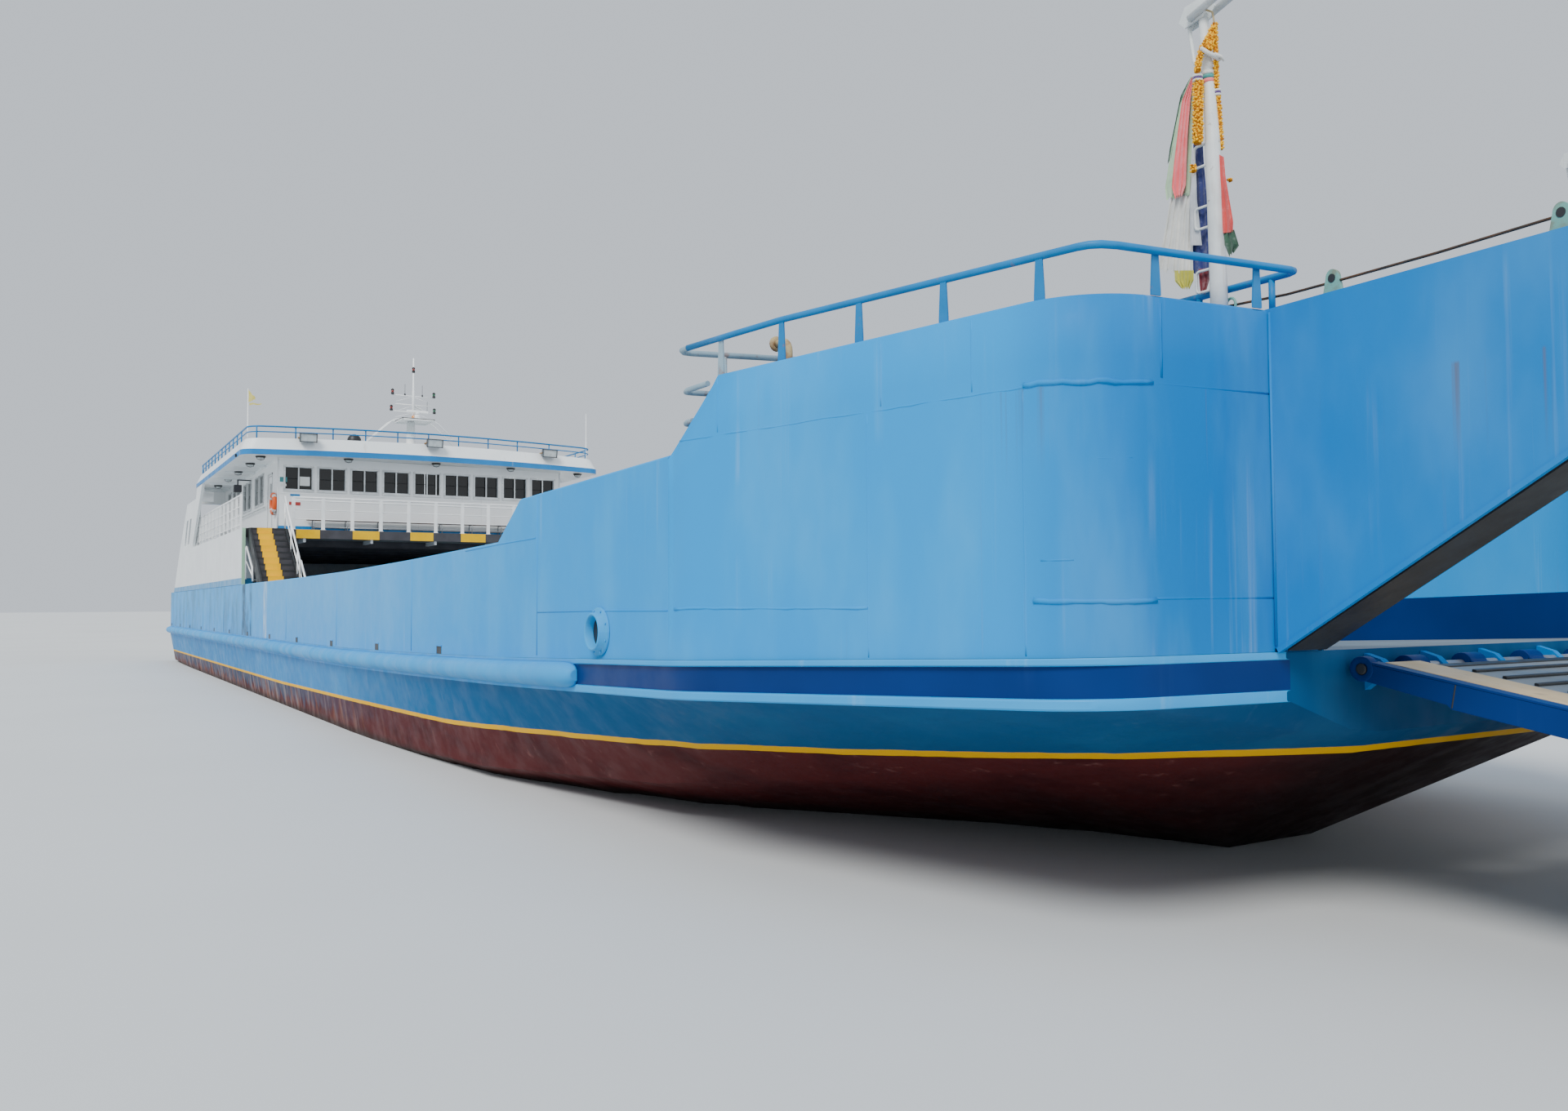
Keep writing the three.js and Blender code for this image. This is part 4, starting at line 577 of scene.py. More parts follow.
def hull():
    tables = (CHINE_HALF, CHINE_Z, KEEL_HALF, KEEL_Z, YELLOW)
    stations = {row[0] for table in tables for row in table} | {x for x, _ in refined(SIDE, 1.5)}
    stations |= {22.7, 22.74}
    rows = []
    for x in sorted({round(x, 4) for x in stations}):
        side, top, keel = look(SIDE, x), deck(x), look(KEEL_Z, x)
        proud, low = 0.045 if x > 22.72 else 0.004, deck(x) - BAND
        half = [(0, keel), (look(KEEL_HALF, x), keel), (look(CHINE_HALF, x), look(CHINE_Z, x))]
        half.append((side, low - 0.005))
        for base, bead in (
            (low, [(0.8, 0), (1, 0.012), (1, 0.068), (0.8, 0.08), (0, 0.085)]),
            (top, [(0, -0.06), (0.8, -0.055), (1, -0.045), (1, -0.01), (0.8, 0)]),
        ):
            half += [(side + proud * share, base + lift) for share, lift in bead]
        half.append((side - 0.12, top))
        rows.append([(x, -y, z) for y, z in half])
    blue, band, pale, grey = range(4)
    strips = [blue] * 3 + [pale] * 5 + [band] + [pale] * 4 + [grey]
    shape = Shape().grid(rows, strips)
    shape.grid([[(x, -y, z) for x, y, z in row[::-1]] for row in rows], strips[::-1])
    stem = [float(x > 22 and z == look(KEEL_Z, x)) for x, _, z in shape.verts]
    for row, way in ((rows[0], 1), (rows[-1], -1)):
        start = len(shape.verts)
        shape.verts += row + [(x, -y, z) for x, y, z in row[::-1]]
        shape.face(range(start, len(shape.verts))[::way])
    line = [z - look(YELLOW, x) for x, _, z in shape.verts]
    edges = [(row[0][0], look(SIDE, row[0][0]) - 0.12) for row in rows]
    shape.grid([[(x, y, deck(x)) for y in (-half, 0, half)] for x, half in edges], grey, False)
    hardware(shape)
    count = len(shape.verts)
    shape.values = {
        "line": line + [1.0] * (count - len(line)),
        "stem": stem + [0.0] * (count - len(stem)),
    }
    mats = ["hull_bands", "band_blue", "pale_strip", "deck_grey", "hull_blue", "galvanised", "antifouling"]
    mod = shape.build("hull_shell", mats, ["hull"]).modifiers.new("creases", "EDGE_SPLIT")
    mod.split_angle = math.radians(24)


def hardware(shape):
    """Hinge brackets and rod, shaft bearings, struts and rudder bearings."""
    paint, steel, below = 4, 5, 6
    for y in (-2.2, -1.4, -0.5, 0.5, 1.4, 2.2):
        outline = [(29.98, 1.85), (30.14, 1.98), (30.21, 2.05), (30.14, 2.12), (29.98, 2.17)]
        shape.prism(outline, 1, (y - 0.04, y + 0.04), paint)
    shape.lathe([(0.035, -2.48), (0.035, 2.48)], (30.14, 0, 2.05), ACROSS, 16, steel)
    for y in (-2.6, 2.6):
        bearing = [(0.063, -0.7), (0.11, -0.68), (0.115, 0), (0.11, 0.22), (0.063, 0.24)]
        shape.lathe(bearing, (-25.35, y, -1.12), AHEAD, 20, below)
        shape.tube([(-25.6, y, -1.12), (-19.4, y, -1.0)], 0.06, 14, steel)
        strut = [(-25.85, -1.12), (-25.3, -1.12), (-24.8, -0.5), (-25.7, -0.5)]
        shape.prism(strut, 1, (y - 0.05, y + 0.05), below)
        shape.lathe([(0.064, -0.2), (0.11, -0.19), (0.11, 0.22)], (-27.5, y, -0.42), UP, 18, below)


def fender():
    nose = [(22.3, 1.0), (22.42, 0.97), (22.52, 0.91), (22.6, 0.8), (22.66, 0.63), (22.69, 0.42)]
    table = refined(STERN_PLAN + [(22.2, HALF_BEAM)], 2.0)
    sizes = [1.0] * len(table) + [size for _, size in nose]
    path = starboard(table + [(x, HALF_BEAM) for x, _ in nose])
    rows = []
    for (x, y), (ox, oy), size in zip(path, offset(path, 1.0), sizes):
        bulge = around((0.006, deck(x) - BAND / 2), (0.186 * size, 0.155 * size), angles(12, -90, 90))
        rows.append([(x + (ox - x) * out, y + (oy - y) * out, z) for out, z in bulge])
    Shape().grid(rows, 0, True, True, True).pair("fender_tube", ["pale_strip"], "fender")


# Bulwark


def bulwark_top(x):
    high, forward = 1.57, 19.8
    if x <= forward:
        return deck(x) + high
    return look([(forward, deck(forward) + high), (20.7, 3.98), (25.06, 4.08)], x)


def bulwark():
    shape = Shape()
    outer, inner = -HALF_BEAM, -HALF_BEAM + PLATE
    rows = []
    for x in sorted({round(-28.35 + i * 1.2, 3) for i in range(45)} | {19.8, 20.7, 25.059}):
        foot, top = deck(x) + 0.002, bulwark_top(x)
        ring = [(outer, foot), (outer, top - 0.02), (outer + 0.02, top)]
        ring += [(inner - 0.02, top), (inner, top - 0.02), (inner, foot)]
        rows.append([(x, y, z) for y, z in ring])
    shape.grid(rows, 0, False, True, True)
    face, weld = outer - 0.001, 0.008
    for x in [21.35, 15.35] + [9.35 - 6.1 * i for i in range(7)]:
        shape.tube([(x, face, deck(x) + 0.03), (x, face, bulwark_top(x) - 0.03)], weld, 5)
    for a, b, z0, z1 in [(18.35, 21.3, 3.39, 3.44), (21.35, 25.05, 2.5, 2.53)]:
        shape.tube([(a, face, z0), ((a + b) / 2, face, (z0 + z1) / 2 + 0.01), (b, face, z1)], weld, 5)
    for x in range(16, -25, -2):
        if not -5 < x < 0.5:
            foot, top, wide = deck(x) + 0.004, bulwark_top(x) - 0.15, inner + 0.42
            stay = [(inner - 0.02, foot), (wide, foot), (wide, foot + 0.12), (inner, top)]
            shape.prism(stay + [(inner - 0.02, top)], 0, (x - 0.02, x + 0.02))
    # Freeing ports: a dark patch at each opening as painted shade, under a lip.
    for i in range(12):
        x = 17 - 4.08 * i
        low = deck(x) + 0.003
        shape.box((x - 0.13, x + 0.13), (outer - 0.004, outer + 0.02), (low, low + 0.12), 1)
        shape.box((x - 0.15, x + 0.15), (outer - 0.018, outer + 0.01), (low + 0.12, low + 0.135))
    fairlead(shape)
    shape.pair("bulwark_plating", ["hull_blue", "dark_iron", "pale_strip", "rusty_edge"], "bulwark")


def fairlead(shape):
    """An oval flange with bolts, and the pipe's mouth standing out of it."""
    x, z, black, pale = 23.35, 2.29, 1, 2
    profile = [
        (-0.004, 0.085), (-0.03, 0.083), (-0.034, 0.035), (-0.1, 0.03), (-0.112, 0.014), (-0.1, 0.0),
        (-0.005, -0.006),
    ]
    rows = []
    for a in angles(32):
        across, up = math.cos(a), math.sin(a)
        points = [(x + across * (0.185 + grow), z + up * (0.18 + grow * 1.1)) for _, grow in profile]
        rows.append([(px, depth - HALF_BEAM, pz) for (px, pz), (depth, _) in zip(points, profile)])
    shape.grid(rows, pale)
    # Painted shade: a dark disc fills the pipe's opening.
    mouth = around((x, z), (0.18, 0.175), angles(32)[:-1])
    shape.prism(mouth, 1, (-HALF_BEAM - 0.006, -HALF_BEAM - 0.003), black)
    bolt = [(0.014, 0), (0.014, 0.008), (0.008, 0.012)]
    for bx, bz in around((x, z), (0.245, 0.245), angles(8, 22.5, 382.5)[:-1]):
        shape.lathe(bolt, (bx, -HALF_BEAM - 0.034, bz), (0, -1, 0), 6, pale)


def stern_bulwark():
    half = STERN_PLAN[::-1]
    half[0] = (half[0][0] - 0.001, half[0][1])
    whole = half + starboard(half[::-1])
    low, high = deck(-30) + 0.002, deck(-30) + 1.57
    rows = []
    for (ox, oy), (ix, iy) in zip(whole, offset(whole, -PLATE)):
        rows.append([(ox, oy, low), (ox, oy, high), (ix, iy, high), (ix, iy, low)])
    shape = Shape().grid(rows, 0, False, True, True)
    for y in (-3, 3):
        shape.box((-30.015, -29.995), (y - 0.35, y + 0.35), (2.0, 2.6), 1)
    shape.build("stern_plating", ["hull_blue", "dark_iron"], ["stern_bulwark"])


# Bow boxes, with the horns beside the ramp


def box_top(x):
    edge = [(25.06, 4.06), (25.2, 4.14), (25.4, 4.29), (25.6, 4.48), (25.81, 4.694), (25.87, 4.77)]
    return look(edge + [(26.64, 4.785), (30, 4.845)], x)


def bow_box():
    shape = Shape()
    step = [(x, look(SIDE, x)) for x in (25.3, 25.5, 25.7, 25.81, 25.87, 26.64)]
    plan = [(25.06, HALF_BEAM)] + sorted(BOW_PLAN[:3] + step) + BOW_PLAN[3:-1] + [(29.98, 3.35)]
    path = starboard(refined(plan, 0.8))
    rows = []
    for (x, y), (ix, iy) in zip(path, offset(path, -PLATE)):
        top, foot = box_top(x), deck(x) + 0.002
        outside = [(x, y, foot + (top - 0.02 - foot) * i / 6) for i in range(7)]
        lip = [(x + (ix - x) * share, y + (iy - y) * share, top) for share in (0.2, 0.8)]
        rows.append(outside + lip + [(ix, iy, top - 0.02), (ix, iy, 3.98)])
    shape.grid(rows)
    shape.face(range(len(rows[0])))
    aft, fore, wall = 25.3, 29.98, -2.75
    platform = [(aft, wall), (aft, -HALF_BEAM + 0.05)] + offset(path, -0.04)[3:-1]
    shape.prism(platform + [(29.95, -3.31), (29.95, wall)], 2, (3.9, 4.0), 2)
    shape.box((aft, aft + 0.04), (-HALF_BEAM + 0.06, wall), (2.05, 3.95))
    shape.prism([(aft, 2.04), (aft, 3.99), (fore, 3.99), (fore, 2.19)], 1, (wall - 0.06, wall))
    shape.prism([(aft, 2.045), (aft, 2.55), (29.985, 2.7), (29.985, 2.2)], 1, (wall, wall + 0.004), 1)
    shape.box((aft, 28.8), (wall - 0.06, wall), (3.98, 4.12))
    shape.prism([(-3.3, 2.2), (-3.3, 4.0), (-2.76, 4.0), (-2.76, 2.2)], 0, (29.9, fore))
    for part in (horn, seams, ladder, vent):
        part(shape)
    mats = ["hull_blue", "band_blue", "deck_grey", "eye_green", "dark_iron", "rusty_edge", "deckhouse_white"]
    shape.pair("bow_box_plating", mats, "bow_box")


def horn(shape):
    outer, inner, green, black = -3.35, -2.75, 3, 4
    top = [(28.7, 3.9), (28.9, 4.84), (29.6, 4.84), (30, 4.85), (33.72, 4.96), (33.8, 4.9)]
    under = [(33.8, 4.62), (33.55, 4.42), (30.0, 2.23), (29.9, 2.23), (29.6, 2.4), (29.6, 3.9)]
    shape.prism(top + under, 1, (outer, inner))
    lip = [(30.0, 2.23), (33.55, 4.42), (33.57, 4.39), (30.02, 2.195)]
    shape.prism(lip, 1, (outer - 0.012, outer + 0.03))
    # Painted shade: a dark iron plate along the horn's underside, where a stiffener plate lies in shade.
    under_plate = [(30.05, 2.21), (33.5, 4.34), (33.5, 4.37), (30.05, 2.245)]
    shape.prism(under_plate, 1, (outer + 0.06, inner - 0.06), black)
    shape.tube([(29.995, outer - 0.002, 2.25), (29.995, outer - 0.002, 4.82)], 0.012, 6)
    for x in (30.34, 31.96, 33.5):
        z = 4.85 + 0.03 * (x - 30)
        eye = around((x, z + 0.19), (0.052, 0.065), angles(12, 0, 180))[::-1]
        shape.prism([(x - 0.095, z - 0.03)] + eye + [(x + 0.095, z - 0.03)], 1, (-3.07, -3.03), green)
        shape.prism(around((x, z + 0.185), (0.03, 0.034), angles(12)[:-1]), 1, (-3.074, -3.026), black)


def seams(shape):
    """Low weld beads on the outer shell, and the buckled ridge round the corner."""
    bead, sunk = 0.012, 0.008
    uprights = [(27.7, deck(27.7) + 0.02, 4.17), (29.2, deck(29.2) + 0.02, 4.16)]
    for x, low, high in uprights + [(x, 4.22, box_top(x) - 0.04) for x in (25.87, 27.85, 28.75)]:
        count = max(2, round((high - low) / 0.09))
        heights = [low + (high - low) * i / count for i in range(count + 1)]
        y = -look(SIDE, x) + sunk
        shape.tube([(x + 0.004 * noise.noise((0, 0, 7 * z)), y, z) for z in heights], bead, 6)
    shape.tube([(29.842, -4.41, z) for z in (4.24, 4.4, 4.6, 4.79)], bead, 6)
    outer = refined([(25.2, HALF_BEAM)] + BOW_PLAN[:-1] + [(29.98, 3.35)], 0.12)
    for start, end, z, size, rough in (
        (25.25, 30, 4.19, 1.0, 1.0), (29.15, 29.83, 4.2, 2.1, 2.2), (29.22, 29.86, 2.6, 1.9, 1.2),
        (29.8, 30, 2.61, 1.0, 1.0), (25.2, 27.7, 2.55, 1.3, 0.8), (29.24, 29.79, 3.63, 0.7, 1.0),
        (29.27, 29.55, 2.9, 0.9, 1.0),
    ):
        run = [(x, y) for x, y in offset(starboard(outer), -sunk) if start <= x <= end]
        points, sizes = [], []
        for x, y in run:
            wave = 0.01 * noise.noise((x * 2.3, y * 2.3, z)) + 0.008 * noise.noise((x * 11, y * 11, z))
            points.append((x, y, z + rough * wave))
            sizes.append(bead * size * (1 + 0.35 * noise.noise((9 * x, 9 * y, z))))
        shape.tube(points, sizes, 6)


def ladder(shape):
    x, sides, white = 25.14, (-4.4, -3.96), 6
    for y in sides:
        shape.box((x - 0.025, x + 0.025), (y - 0.02, y + 0.02), (2.1, 4.9), white)
        for z in (2.6, 3.8):
            shape.box((x, 25.32), (y - 0.02, y + 0.02), (z, z + 0.05), white)
    for i in range(9):
        shape.tube([(x, y, 2.33 + 0.3 * i) for y in sides], 0.016, 8, white)


def vent(shape):
    """A rusty pipe that turns aft over the platform and ends in a flange."""
    x, y, bend, iron, rusty = 26.2, -5.35, 0.12, 4, 5
    arc = [(ax, y, az) for ax, az in around((x - bend, 4.99), (bend, bend), angles(8, 0, 90))]
    end = (x - 0.22, y, 5.11)
    shape.tube([(x, y, 3.99)] + arc + [end], 0.035, 14, rusty)
    shape.lathe([(0.035, 0.0), (0.075, 0.0), (0.075, 0.02), (0.03, 0.02)], end, (-1, 0, 0), 16, rusty)
    shape.lathe([(0.09, 0.0), (0.09, 0.02), (0.045, 0.03)], (x, y, 4.0), UP, 16, iron)


def blade(shape, x, y, high, across, slot=0):
    """A flat rail post that widens downward, with its broad side along the plan direction across."""
    ux, uy = across
    low = box_top(x) + 0.003
    rows = []
    for z, half in ((low, 0.045), (low + 0.04, 0.045), (high, 0.029)):
        ring = [(-half, -0.007), (half, -0.007), (half, 0.007), (-half, 0.007)]
        rows.append([(x + ux * a - uy * b, y + uy * a + ux * b, z) for a, b in ring])
    shape.grid(rows, slot, False, True, True)


def bow_rail():
    shape = Shape()
    inner, platform, high, grey = -3.07, 4.002, 5.17, 1
    path = [
        (25.36, -4.75, 5.13), (25.13, -5.84, 5.12), (25.14, -5.93, 5.12), (25.2, -5.98, 5.12),
        (25.34, -5.99, 5.12), (26.0, -5.85, 5.145), (26.64, -5.7, high), (29.62, -5.02, high),
        (29.7, -4.985, high), (29.76, -4.92, high), (29.8, -4.8, high), (30.02, -3.3, high),
        (30.04, -3.15, high), (30.03, -3.1, high), (29.97, inner, high), (25.7, inner, high),
        (25.36, inner, 5.13),
    ]
    shape.tube(path[:5], 0.03, 14, grey)
    shape.tube(path[4:], 0.03, 14)
    blade(shape, 25.82, -5.88, 5.13, (0.975, 0.222), grey)
    for x, y in [(26.64, -5.705), (27.56, -5.5), (28.44, -5.3), (29.31, -5.1)]:
        blade(shape, x, y, 5.16, (0.975, 0.222))
    for x, y in [(29.83, -4.44), (29.965, -3.46)]:
        blade(shape, x, y, 5.16, (0.14, 0.99))
    for x, foot in [(x, platform) for x in (28.3, 27.32, 26.34, 25.37)] + [(29.12, 4.842), (29.82, 4.848)]:
        shape.tube([(x, inner, foot), (x, inner, 5.165 if x > 26 else 5.13)], 0.026, 10)
    for x, y, foot in ((25.37, -4.76, platform), (25.2, -5.5, 4.38)):
        shape.tube([(x, y, foot), (x, y, 5.12)], 0.028, 10, grey)
    for z, end in ((4.4, 25.34), (4.72, 25.66)):
        bar = [(25.365, -4.76), (25.13, -5.83), (25.15, -5.91), (25.24, -5.94), (end, -5.94)]
        shape.tube([(x, y, z) for x, y in bar], 0.028, 10, grey)
        shape.tube([(25.38, inner, z), (28.3, inner, z)], 0.022, 10)
    shape.pair("bow_railing", ["rail_blue", "rail_grey"], "bow_rail")


# Bow ramp, drawn level from its hinge


def ramp():
    shape = Shape()
    top, length, half, slope = 0.07, 6.9, 2.5, math.radians(10.4)
    cream, tread, black = 1, 2, 3
    knee, inside = length - 0.6, half - 0.13
    girder = [(-0.02, top - 0.02), (length - 0.5, top - 0.02), (length, top - 0.08), (length, top - 0.12)]
    girder += [(knee, top - 0.21), (0.74, top - 0.21), (0.7, top - 0.185), (0.06, -0.09), (-0.04, -0.07)]
    boss = [(0.05, 0.0), (0.07, 0.006), (0.1, 0.006), (0.1, -0.1)]
    pin = [(0.03, 0.012), (0.045, 0.01), (0.045, -0.02)]
    for hand in (-1, 1):
        edge = hand * half
        shape.prism(girder, 1, (edge, edge - hand * 0.09))
        shape.box((-0.02, length - 0.5), (edge, edge - hand * 0.14), (top - 0.02, top))
        shape.box((0.735, 0.75), (edge - hand * 0.01, edge + hand * 0.003), (-0.13, top - 0.02), black)
        shape.box((0.1, knee), (edge - hand * 0.14, edge - hand * 0.62), (top - 0.02, top + 0.004), cream)
        shape.lathe(boss, (0, edge, 0), (0, hand, 0), 24)
        shape.lathe(pin, (0, edge, 0), (0, hand, 0), 20, black)
    plate = [(0.22, top - 0.01), (length - 0.5, top - 0.01), (length, top - 0.07), (length, top - 0.1)]
    shape.prism(plate + [(knee, top - 0.075), (0.22, top - 0.075)], 1, (-inside, inside), tread)
    web = (top - 0.195, top - 0.05)
    for i in range(6):
        x = 0.3 + i * 1.15
        shape.box((x, x + 0.08), (-inside, inside), web)
    for y in (-1.6, -0.8, 0, 0.8, 1.6):
        shape.box((0.3, length - 0.7), (y - 0.04, y + 0.04), web)
    for y in (-1.8, -0.95, 0, 0.95, 1.8):
        shape.lathe([(0.04, -0.12), (0.095, -0.12), (0.095, 0.12), (0.04, 0.12)], (0, y, 0), ACROSS, 20)
        shape.box((0.06, 0.32), (y - 0.12, y + 0.12), (-0.06, top - 0.03))
    shape.box((0.22, 0.3), (-inside, inside), (top - 0.03, top + 0.002), black)
    for i in range(26):
        x = 0.46 + i * 0.235
        shape.box((x, x + 0.035), (0.6 - inside, inside - 0.6), (top - 0.01, top + 0.012), black)
    place = Matrix.Translation((30.14, 0, 2.05)) @ Matrix.Rotation(slope, 4, "Y")
    shape.verts = [tuple(place @ Vector(v)) for v in shape.verts]
    mats = ["band_blue", "cream_strip", "tread_plate", "dark_iron"]
    shape.build("ramp_structure", mats, ["ramp"], 0.006, "ramp")


# Deckhouse


def repaint(names, paint, bevel=0.0):
    """Gives carried-over CAD nodes their material and softened edges."""
    for name in names:
        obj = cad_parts[name]
        obj.data.materials.clear()
        obj.data.materials.append(MATS[paint])
        if bevel:
            soften(obj, bevel)


def both(name):
    return [f"{name}_{side}" for side in SIDES]


def sash(shape, low, high, place, frame_slot, rubber_slot, slid=0.0):
    """A sliding window of two panes. place(u, v, depth) turns its own coordinates into the ship's."""
    half, rim, lap = 0.43, 0.045, 0.012
    outside, foot, top, edge = half + rim, low + 0.026, high - 0.026, half - lap
    middle = (foot + top) / 2

    def bar(u0, u1, v0, v1, d0, d1, slot=frame_slot):
        corners = [place(u, v, d) for u in (u0, u1) for v in (v0, v1) for d in (d0, d1)]
        spans = [(min(values), max(values)) for values in zip(*corners)]
        shape.box(*spans, slot)

    for u0, u1, v0, v1 in (
        (-outside, outside, low - rim, low + lap), (-outside, outside, high - lap, high + rim),
        (-outside, lap - half, low, high), (half - lap, outside, low, high),
    ):
        bar(u0, u1, v0, v1, -0.06, 0.018)
    for u0, u1, left, right, depth in (
        (-edge, 0.022, lap, 0.042, -0.045), (-0.022 - slid, edge - slid, 0.042, 0.014 + slid * 0.4, -0.07),
    ):
        for a, b, c, d in (
            (u0, u1, low + lap, foot), (u0, u1, top, high - lap),
            (u0, u0 + left, foot, top), (u1 - right, u1, foot, top),
        ):
            bar(a, b, c, d, depth, depth + 0.02)
        bar(u0 + left, u1 - right, middle - 0.006, middle + 0.006, depth + 0.007, depth + 0.012, rubber_slot)
    bar(-outside, outside, low - rim - 0.02, low - rim, -0.01, 0.035)


def cabin_front():
    shape = Shape()
    x, half = -6.08, 4.85
    low, high, base, head = 6.44, 7.2, 5.061, 7.51
    wall, whole = (x - 0.1, x), (-half, half)
    shape.box(wall, whole, (base, low))
    shape.box(wall, whole, (high, head))
    middles = [(i - 4) * 1.052 for i in range(9)]
    edges = [-half] + [m + s * 0.43 for m in middles for s in (-1, 1)] + [half]
    for a, b in zip(edges[::2], edges[1::2]):
        shape.box(wall, (a, b), (low, high))
    for i, m in enumerate(middles):
        sash(shape, low, high, lambda u, v, d, m=m: (x + d, m + u, v), 1, 3, 0.07 if i == 4 else 0.0)
    shape.box((x, x + 0.006), whole, (base, 5.24), 2)
    shape.box((x, x + 0.012), whole, (6.3, 6.32))
    for y, z, slot in (
        ((-4.79, -4.57), (6.68, 6.84), 4), ((-4.77, -4.59), (6.54, 6.62), 6),
        ((-4.47, -4.17), (6.23, 6.29), 7), ((-4.5, -4.42), (5.93, 6.04), 5),
        ((-4.33, -4.15), (5.92, 6.03), 5),
    ):
        shape.box((x, x + 0.01), y, z, slot)
    shape.box((x - 0.025, x - 0.02), (-4.17, -3.86), (6.58, 6.88), 6)
    for y in whole:
        shape.tube([(x + 0.005, y, base), (x + 0.005, y, 7.46)], 0.02)
    mats = [
        "deckhouse_white", "window_frame", "stripe_blue", "window_rubber", "blank_poster", "blank_plate_red",
        "raft_shell", "stripe_blue",
    ]
    shape.build("cabin_front_wall", mats, ["cabin_front"])


def cabin_sides():
    shape = Shape()
    wall = -4.85
    for x in (-9.4, -10.5, -12.3, -13.4, -15.2, -16.3, -17.7):
        sash(shape, 6.2, 7.2, lambda u, v, d, x=x: (x + u, wall - d, v), 0, 1)
    for x0, x1, z0, z1 in (
        (-8.07, -8.03, 5.12, 7.08), (-7.17, -7.13, 5.12, 7.08), (-8.07, -7.13, 7.03, 7.08),
    ):
        shape.box((x0, x1), (wall - 0.02, wall), (z0, z1))
    shape.box((-8.07, -7.13), (wall - 0.04, wall), (5.08, 5.12), 2)
    shape.tube([(x, wall - 0.07, 6.0) for x in (-18.9, -8.3)], 0.02)
    for i in range(8):
        x = -8.6 - 1.45 * i
        shape.box((x, x + 0.04), (wall - 0.07, wall), (5.985, 6.0))
    shape.pair("cabin_side_trim", ["window_frame", "window_rubber", "galvanised"])
    speaker = Shape()
    for x, y, z, slot in (
        ((-12.15, -11.87), (-5.43, -5.18), (6.8, 7.06), 0),
        ((-11.87, -11.86), (-5.41, -5.2), (6.82, 7.04), 1),
        ((-12.05, -11.95), (-5.32, -5.28), (7.06, 7.27), 1),
        ((-12.05, -11.95), (-5.32, -4.85), (7.23, 7.27), 1),
    ):
        speaker.box(x, y, z, slot)
    speaker.build("speaker_box", ["dark_iron", "charcoal"], bevel=0.01)


def soffit(y):
    """The underside of the roof's edge across the ship. The roof is cambered."""
    return 7.52 - 0.0025 * y * y


def stripe_top(y):
    return 7.70 - 0.0028 * y * y


def roof_top(y):
    return 8.12 - 0.0042 * y * y


def soffit_lamps():
    shape = Shape()
    spots = [(x, y) for y in (-5.43, 5.43) for x in (-5.75, -8.0, -10.9, -13.6, -16.6)]
    for x, y in spots + [(-5.6, y) for y in (-2.74, 0.17, 2.83)]:
        z = soffit(y) + 0.004
        shape.lathe([(0.15, 0), (0.155, -0.04), (0.12, -0.055), (0.11, -0.05)], (x, y, z), UP, 18)
        dome = around((0, -0.05), (0.11, -0.075), map(math.radians, (0, 25, 50, 70, 90)))
        shape.lathe(dome, (x, y, z), UP, 16, 1)
        guard = [(-0.12, -0.05), (-0.1, -0.11), (0, -0.135), (0.1, -0.11), (0.12, -0.05)]
        shape.tube([(x, y + across, z + up) for across, up in guard], 0.008, 6)
    shape.build("soffit_lamps", ["dark_iron", "lamp_glass"])


def passenger_deck():
    shape = Shape()
    low, top, edge, fore = 4.78, 5.06, 5.969, -4.9
    yellow, dark, white = 1, 2, 3
    shape.box((-24.6, fore), (-edge, edge), (low, top))
    for i in range(8):
        x = -6.2 - 2.3 * i
        shape.box((x, x + 0.12), (-5.6, 5.6), (low - 0.22, low), dark)
        shape.box((x - 0.05, x + 0.17), (-5.6, 5.6), (low - 0.22, low - 0.2), dark)
    for y in (-4.2, -2.1, 0, 2.1, 4.2):
        shape.box((-24.2, -5.0), (y - 0.04, y + 0.04), (low - 0.12, low), white)
    marks = [-edge, -5.49, -5.0, -4.47, -3.75, -2.73, -1.88, -0.87, -0.1]
    marks += [0.84, 1.7, 2.64, 3.46, 4.47, 5.0, 5.49, edge]
    for i, span in enumerate(zip(marks, marks[1:])):
        slot = yellow if i % 2 else dark
        shape.box((fore, -4.896), span, (low, top), slot)
        shape.box((-5.02, -4.896), span, (top, top + 0.003), slot)
    mats = ["deck_grey", "line_yellow", "charcoal", "deckhouse_white"]
    shape.build("passenger_deck_plate", mats, ["passenger_deck"])


def front_rail():
    shape = Shape()
    x, half = -4.98, 4.55
    for z, r in ((6.1, 0.028), (6.0, 0.022), (5.7, 0.014), (5.4, 0.014)):
        shape.tube([(x, -half, z), (x, half, z)], r, 10)
    for i in range(11):
        y = -half + i * half / 5
        shape.box((x - 0.022, x + 0.022), (y - 0.055, y + 0.055), (5.066, 6.09))
        shape.box((x - 0.05, x + 0.05), (y - 0.08, y + 0.08), (5.064, 5.076))
    shape.build("front_railing", ["plain_white"], ["front_rail"], 0.004)


def side_rail():
    shape = Shape()
    y, x0, x1 = -5.91, -19.1, -6.35
    for z, r in ((6.22, 0.028), (5.85, 0.016), (5.55, 0.016), (5.25, 0.016)):
        shape.tube([(x0, y, z), (x1, y, z)], r)
    for i in range(37):
        x = x1 + i * (x0 - x1) / 36
        wide, foot = (0.01, 5.25) if i % 3 else (0.025, 5.062)
        shape.box((x - wide, x + wide), (y - wide, y + wide), (foot, 6.22))
    shape.pair("side_railing", ["plain_white"], "side_rail")


def aft_rail():
    shape = Shape()
    x, half = -24.45, 5.7
    for z in (6.1, 5.75, 5.4):
        shape.tube([(x, -half, z), (x, half, z)], 0.022)
    for i in range(9):
        y = -half + i * half / 4
        shape.tube([(x, y, 5.062), (x, y, 6.1)], 0.025)
    shape.build("aft_railing", ["plain_white"], ["aft_rail"])


